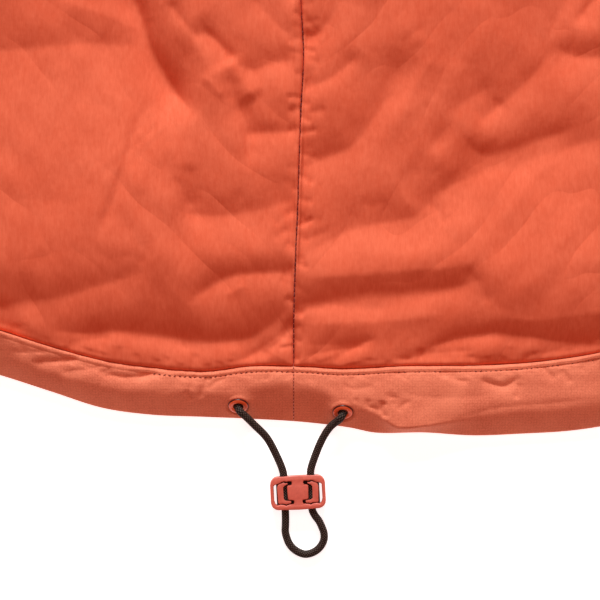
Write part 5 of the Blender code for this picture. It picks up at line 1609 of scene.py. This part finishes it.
def sewing():
    """Stitch rows of the hem casing and the centre seam."""
    x = np.arange(HEM_STITCH_FROM, HEM_STITCH_TO, STITCH_PITCH)
    y = back_hem(x) - HEM_STITCH
    z = base_z(x, y) + casing_height(x, y) + HEM_STITCH_RISE
    stitches("stitches_hem", x, y, z, HEM_THREAD, HEM_STITCH_LEAN)
    middle = float(along(CENTRE_SEAM, back_hem(0.0)))
    low = float(along(HEM_LOW, middle)) + BAND_SEAM_ENDS[0]
    y = np.arange(low, float(back_hem(middle)) - BAND_SEAM_ENDS[1], BAND_SEAM_PITCH)
    x = np.full_like(y, middle)
    z = base_z(x, y) + casing_height(x, y) + BAND_SEAM_RISE
    stitches("stitches_band_seam", x, y, z, BAND_SEAM_THREAD, upright=False)
    y = np.arange(*CENTRE_STITCHES, STITCH_PITCH)
    x = along(CENTRE_SEAM, y)
    z = base_z(x, y) + SEAM_CENTRE[0] - CENTRE_STITCH_SINK
    stitches("stitches_centre", x, y, z, CENTRE_THREAD)


def zip_teeth():
    """Two rows of moulded teeth in place of the chain's plain strip."""
    foot = float(along(FRONT_LOW, 0.0)) + TEETH_FOOT
    corners = np.array([(*corner, z) for z in (-1, 1) for corner in BOX_CORNERS], dtype=float)
    points = []
    for k, y in enumerate(np.arange(foot, SLIDER_Y + TEETH_TOP, TEETH_PITCH / 2)):
        side = -1.0 if k % 2 == 0 else 1.0
        for offset, size in (TOOTH_HEAD, TOOTH_NECK):
            points.append(np.array((side * offset, y, TEETH_Z)) + corners * size)
    starts = 8 * np.arange(len(points))[:, None, None]
    faces = (starts + np.array(BOX_FACES)).reshape(-1, 4)
    build(
        np.concatenate(points), faces, "zip_teeth", TAPE, "tape", ["zip_chain"], turn=False,
        shade=False,
    )


def lighting():
    """Pale floor, soft studio light and the camera over the hem."""
    scene = bpy.context.scene
    floor = placed("floor", edited(
        bpy.data.meshes.new("floor"),
        lambda bm: bmesh.ops.create_grid(bm, x_segments=1, y_segments=1, size=FLOOR_SIZE),
    ), FLOOR_AT)
    material = shader(
        "floor", Roughness=0.9, Specular_IOR_Level=0.0, Base_Color=(0.9, 0.9, 0.9, 1.0),
        Emission_Color=(1.0, 1.0, 1.0, 1.0), Emission_Strength=0.8,
    )[0]
    floor.data.materials.append(material)
    for name, at, size, energy, colour in LIGHTS:
        light = bpy.data.lights.new(name, "AREA")
        light.energy = energy
        light.size = size
        light.color = colour
        lamp = placed(name, light, at)
        lamp.rotation_euler = (LIT_POINT - Vector(at)).to_track_quat("-Z", "Y").to_euler()
    scene.world = bpy.data.worlds.new("studio")
    scene.world.use_nodes = True
    around = scene.world.node_tree.nodes["Background"].inputs
    around["Color"].default_value = WORLD_COLOUR
    around["Strength"].default_value = WORLD_STRENGTH
    scene.view_settings.view_transform = "Standard"
    data = bpy.data.cameras.new("camera")
    data.sensor_width = SENSOR
    data.lens = SENSOR / VIEW_WIDTH * (1.0 - VIEW_TRIM)
    scene.camera = placed("camera", data, CAMERA_AT)


SHELL = satin("shell_satin", (0.84, 0.200, 0.104), (0.75, 0.150, 0.072))
RIPSTOP = ripstop("ripstop_cloth", (0.88, 0.296, 0.172), (0.65, 0.168, 0.094))
RING = enamel("eyelet_enamel", (0.92, 0.155, 0.045), (0.05, 0.006, 0.004))
LOCK = moulded("lock_moulding", (0.71, 0.16, 0.11), (0.61, 0.13, 0.09), 0.38)
# Near-black colour of the lock's floor: painted shade in its slots
LOCK_FLOOR_SHADE = moulded("lock_floor_painted_shade", (0.09, 0.012, 0.009), (0.05, 0.007, 0.005), 0.6)
# Pale end of the cord colour: painted highlight on the strand crowns
CORD = braided("cord_braid", (0.12, 0.092, 0.078), (0.002, 0.0015, 0.0012))
TAPE = woven("zip_tape", (0.55, 0.09, 0.05), (0.36, 0.05, 0.03), 0.0006)
# Stitch thread: real thread, its dark red partly painted shade of the seam grooves it lies in
SHADED_THREAD = woven("thread", (0.20, 0.010, 0.010), (0.12, 0.005, 0.006), 0.0003)
METAL = brushed("zinc_alloy", (0.24, 0.24, 0.25), (0.10, 0.10, 0.11))

LOCK_PLACE = Matrix.Translation(world(LOCK_CENTRE)) @ Matrix.Rotation(LOCK_TURN, 4, "Z")

lighting()
cord_lock()
drawcord()
eyelets()
body_panels()
back_bands()
front_bands()
sleeves()
collar()
sewing()
zip_teeth()
for name, material in (
    ("zip_tape_left", TAPE), ("zip_tape_right", TAPE), ("zip_slider", METAL), ("zip_pull", METAL),
):
    frame["nodes"][name].material_slots[0].material = material

bpy.context.view_layer.update()
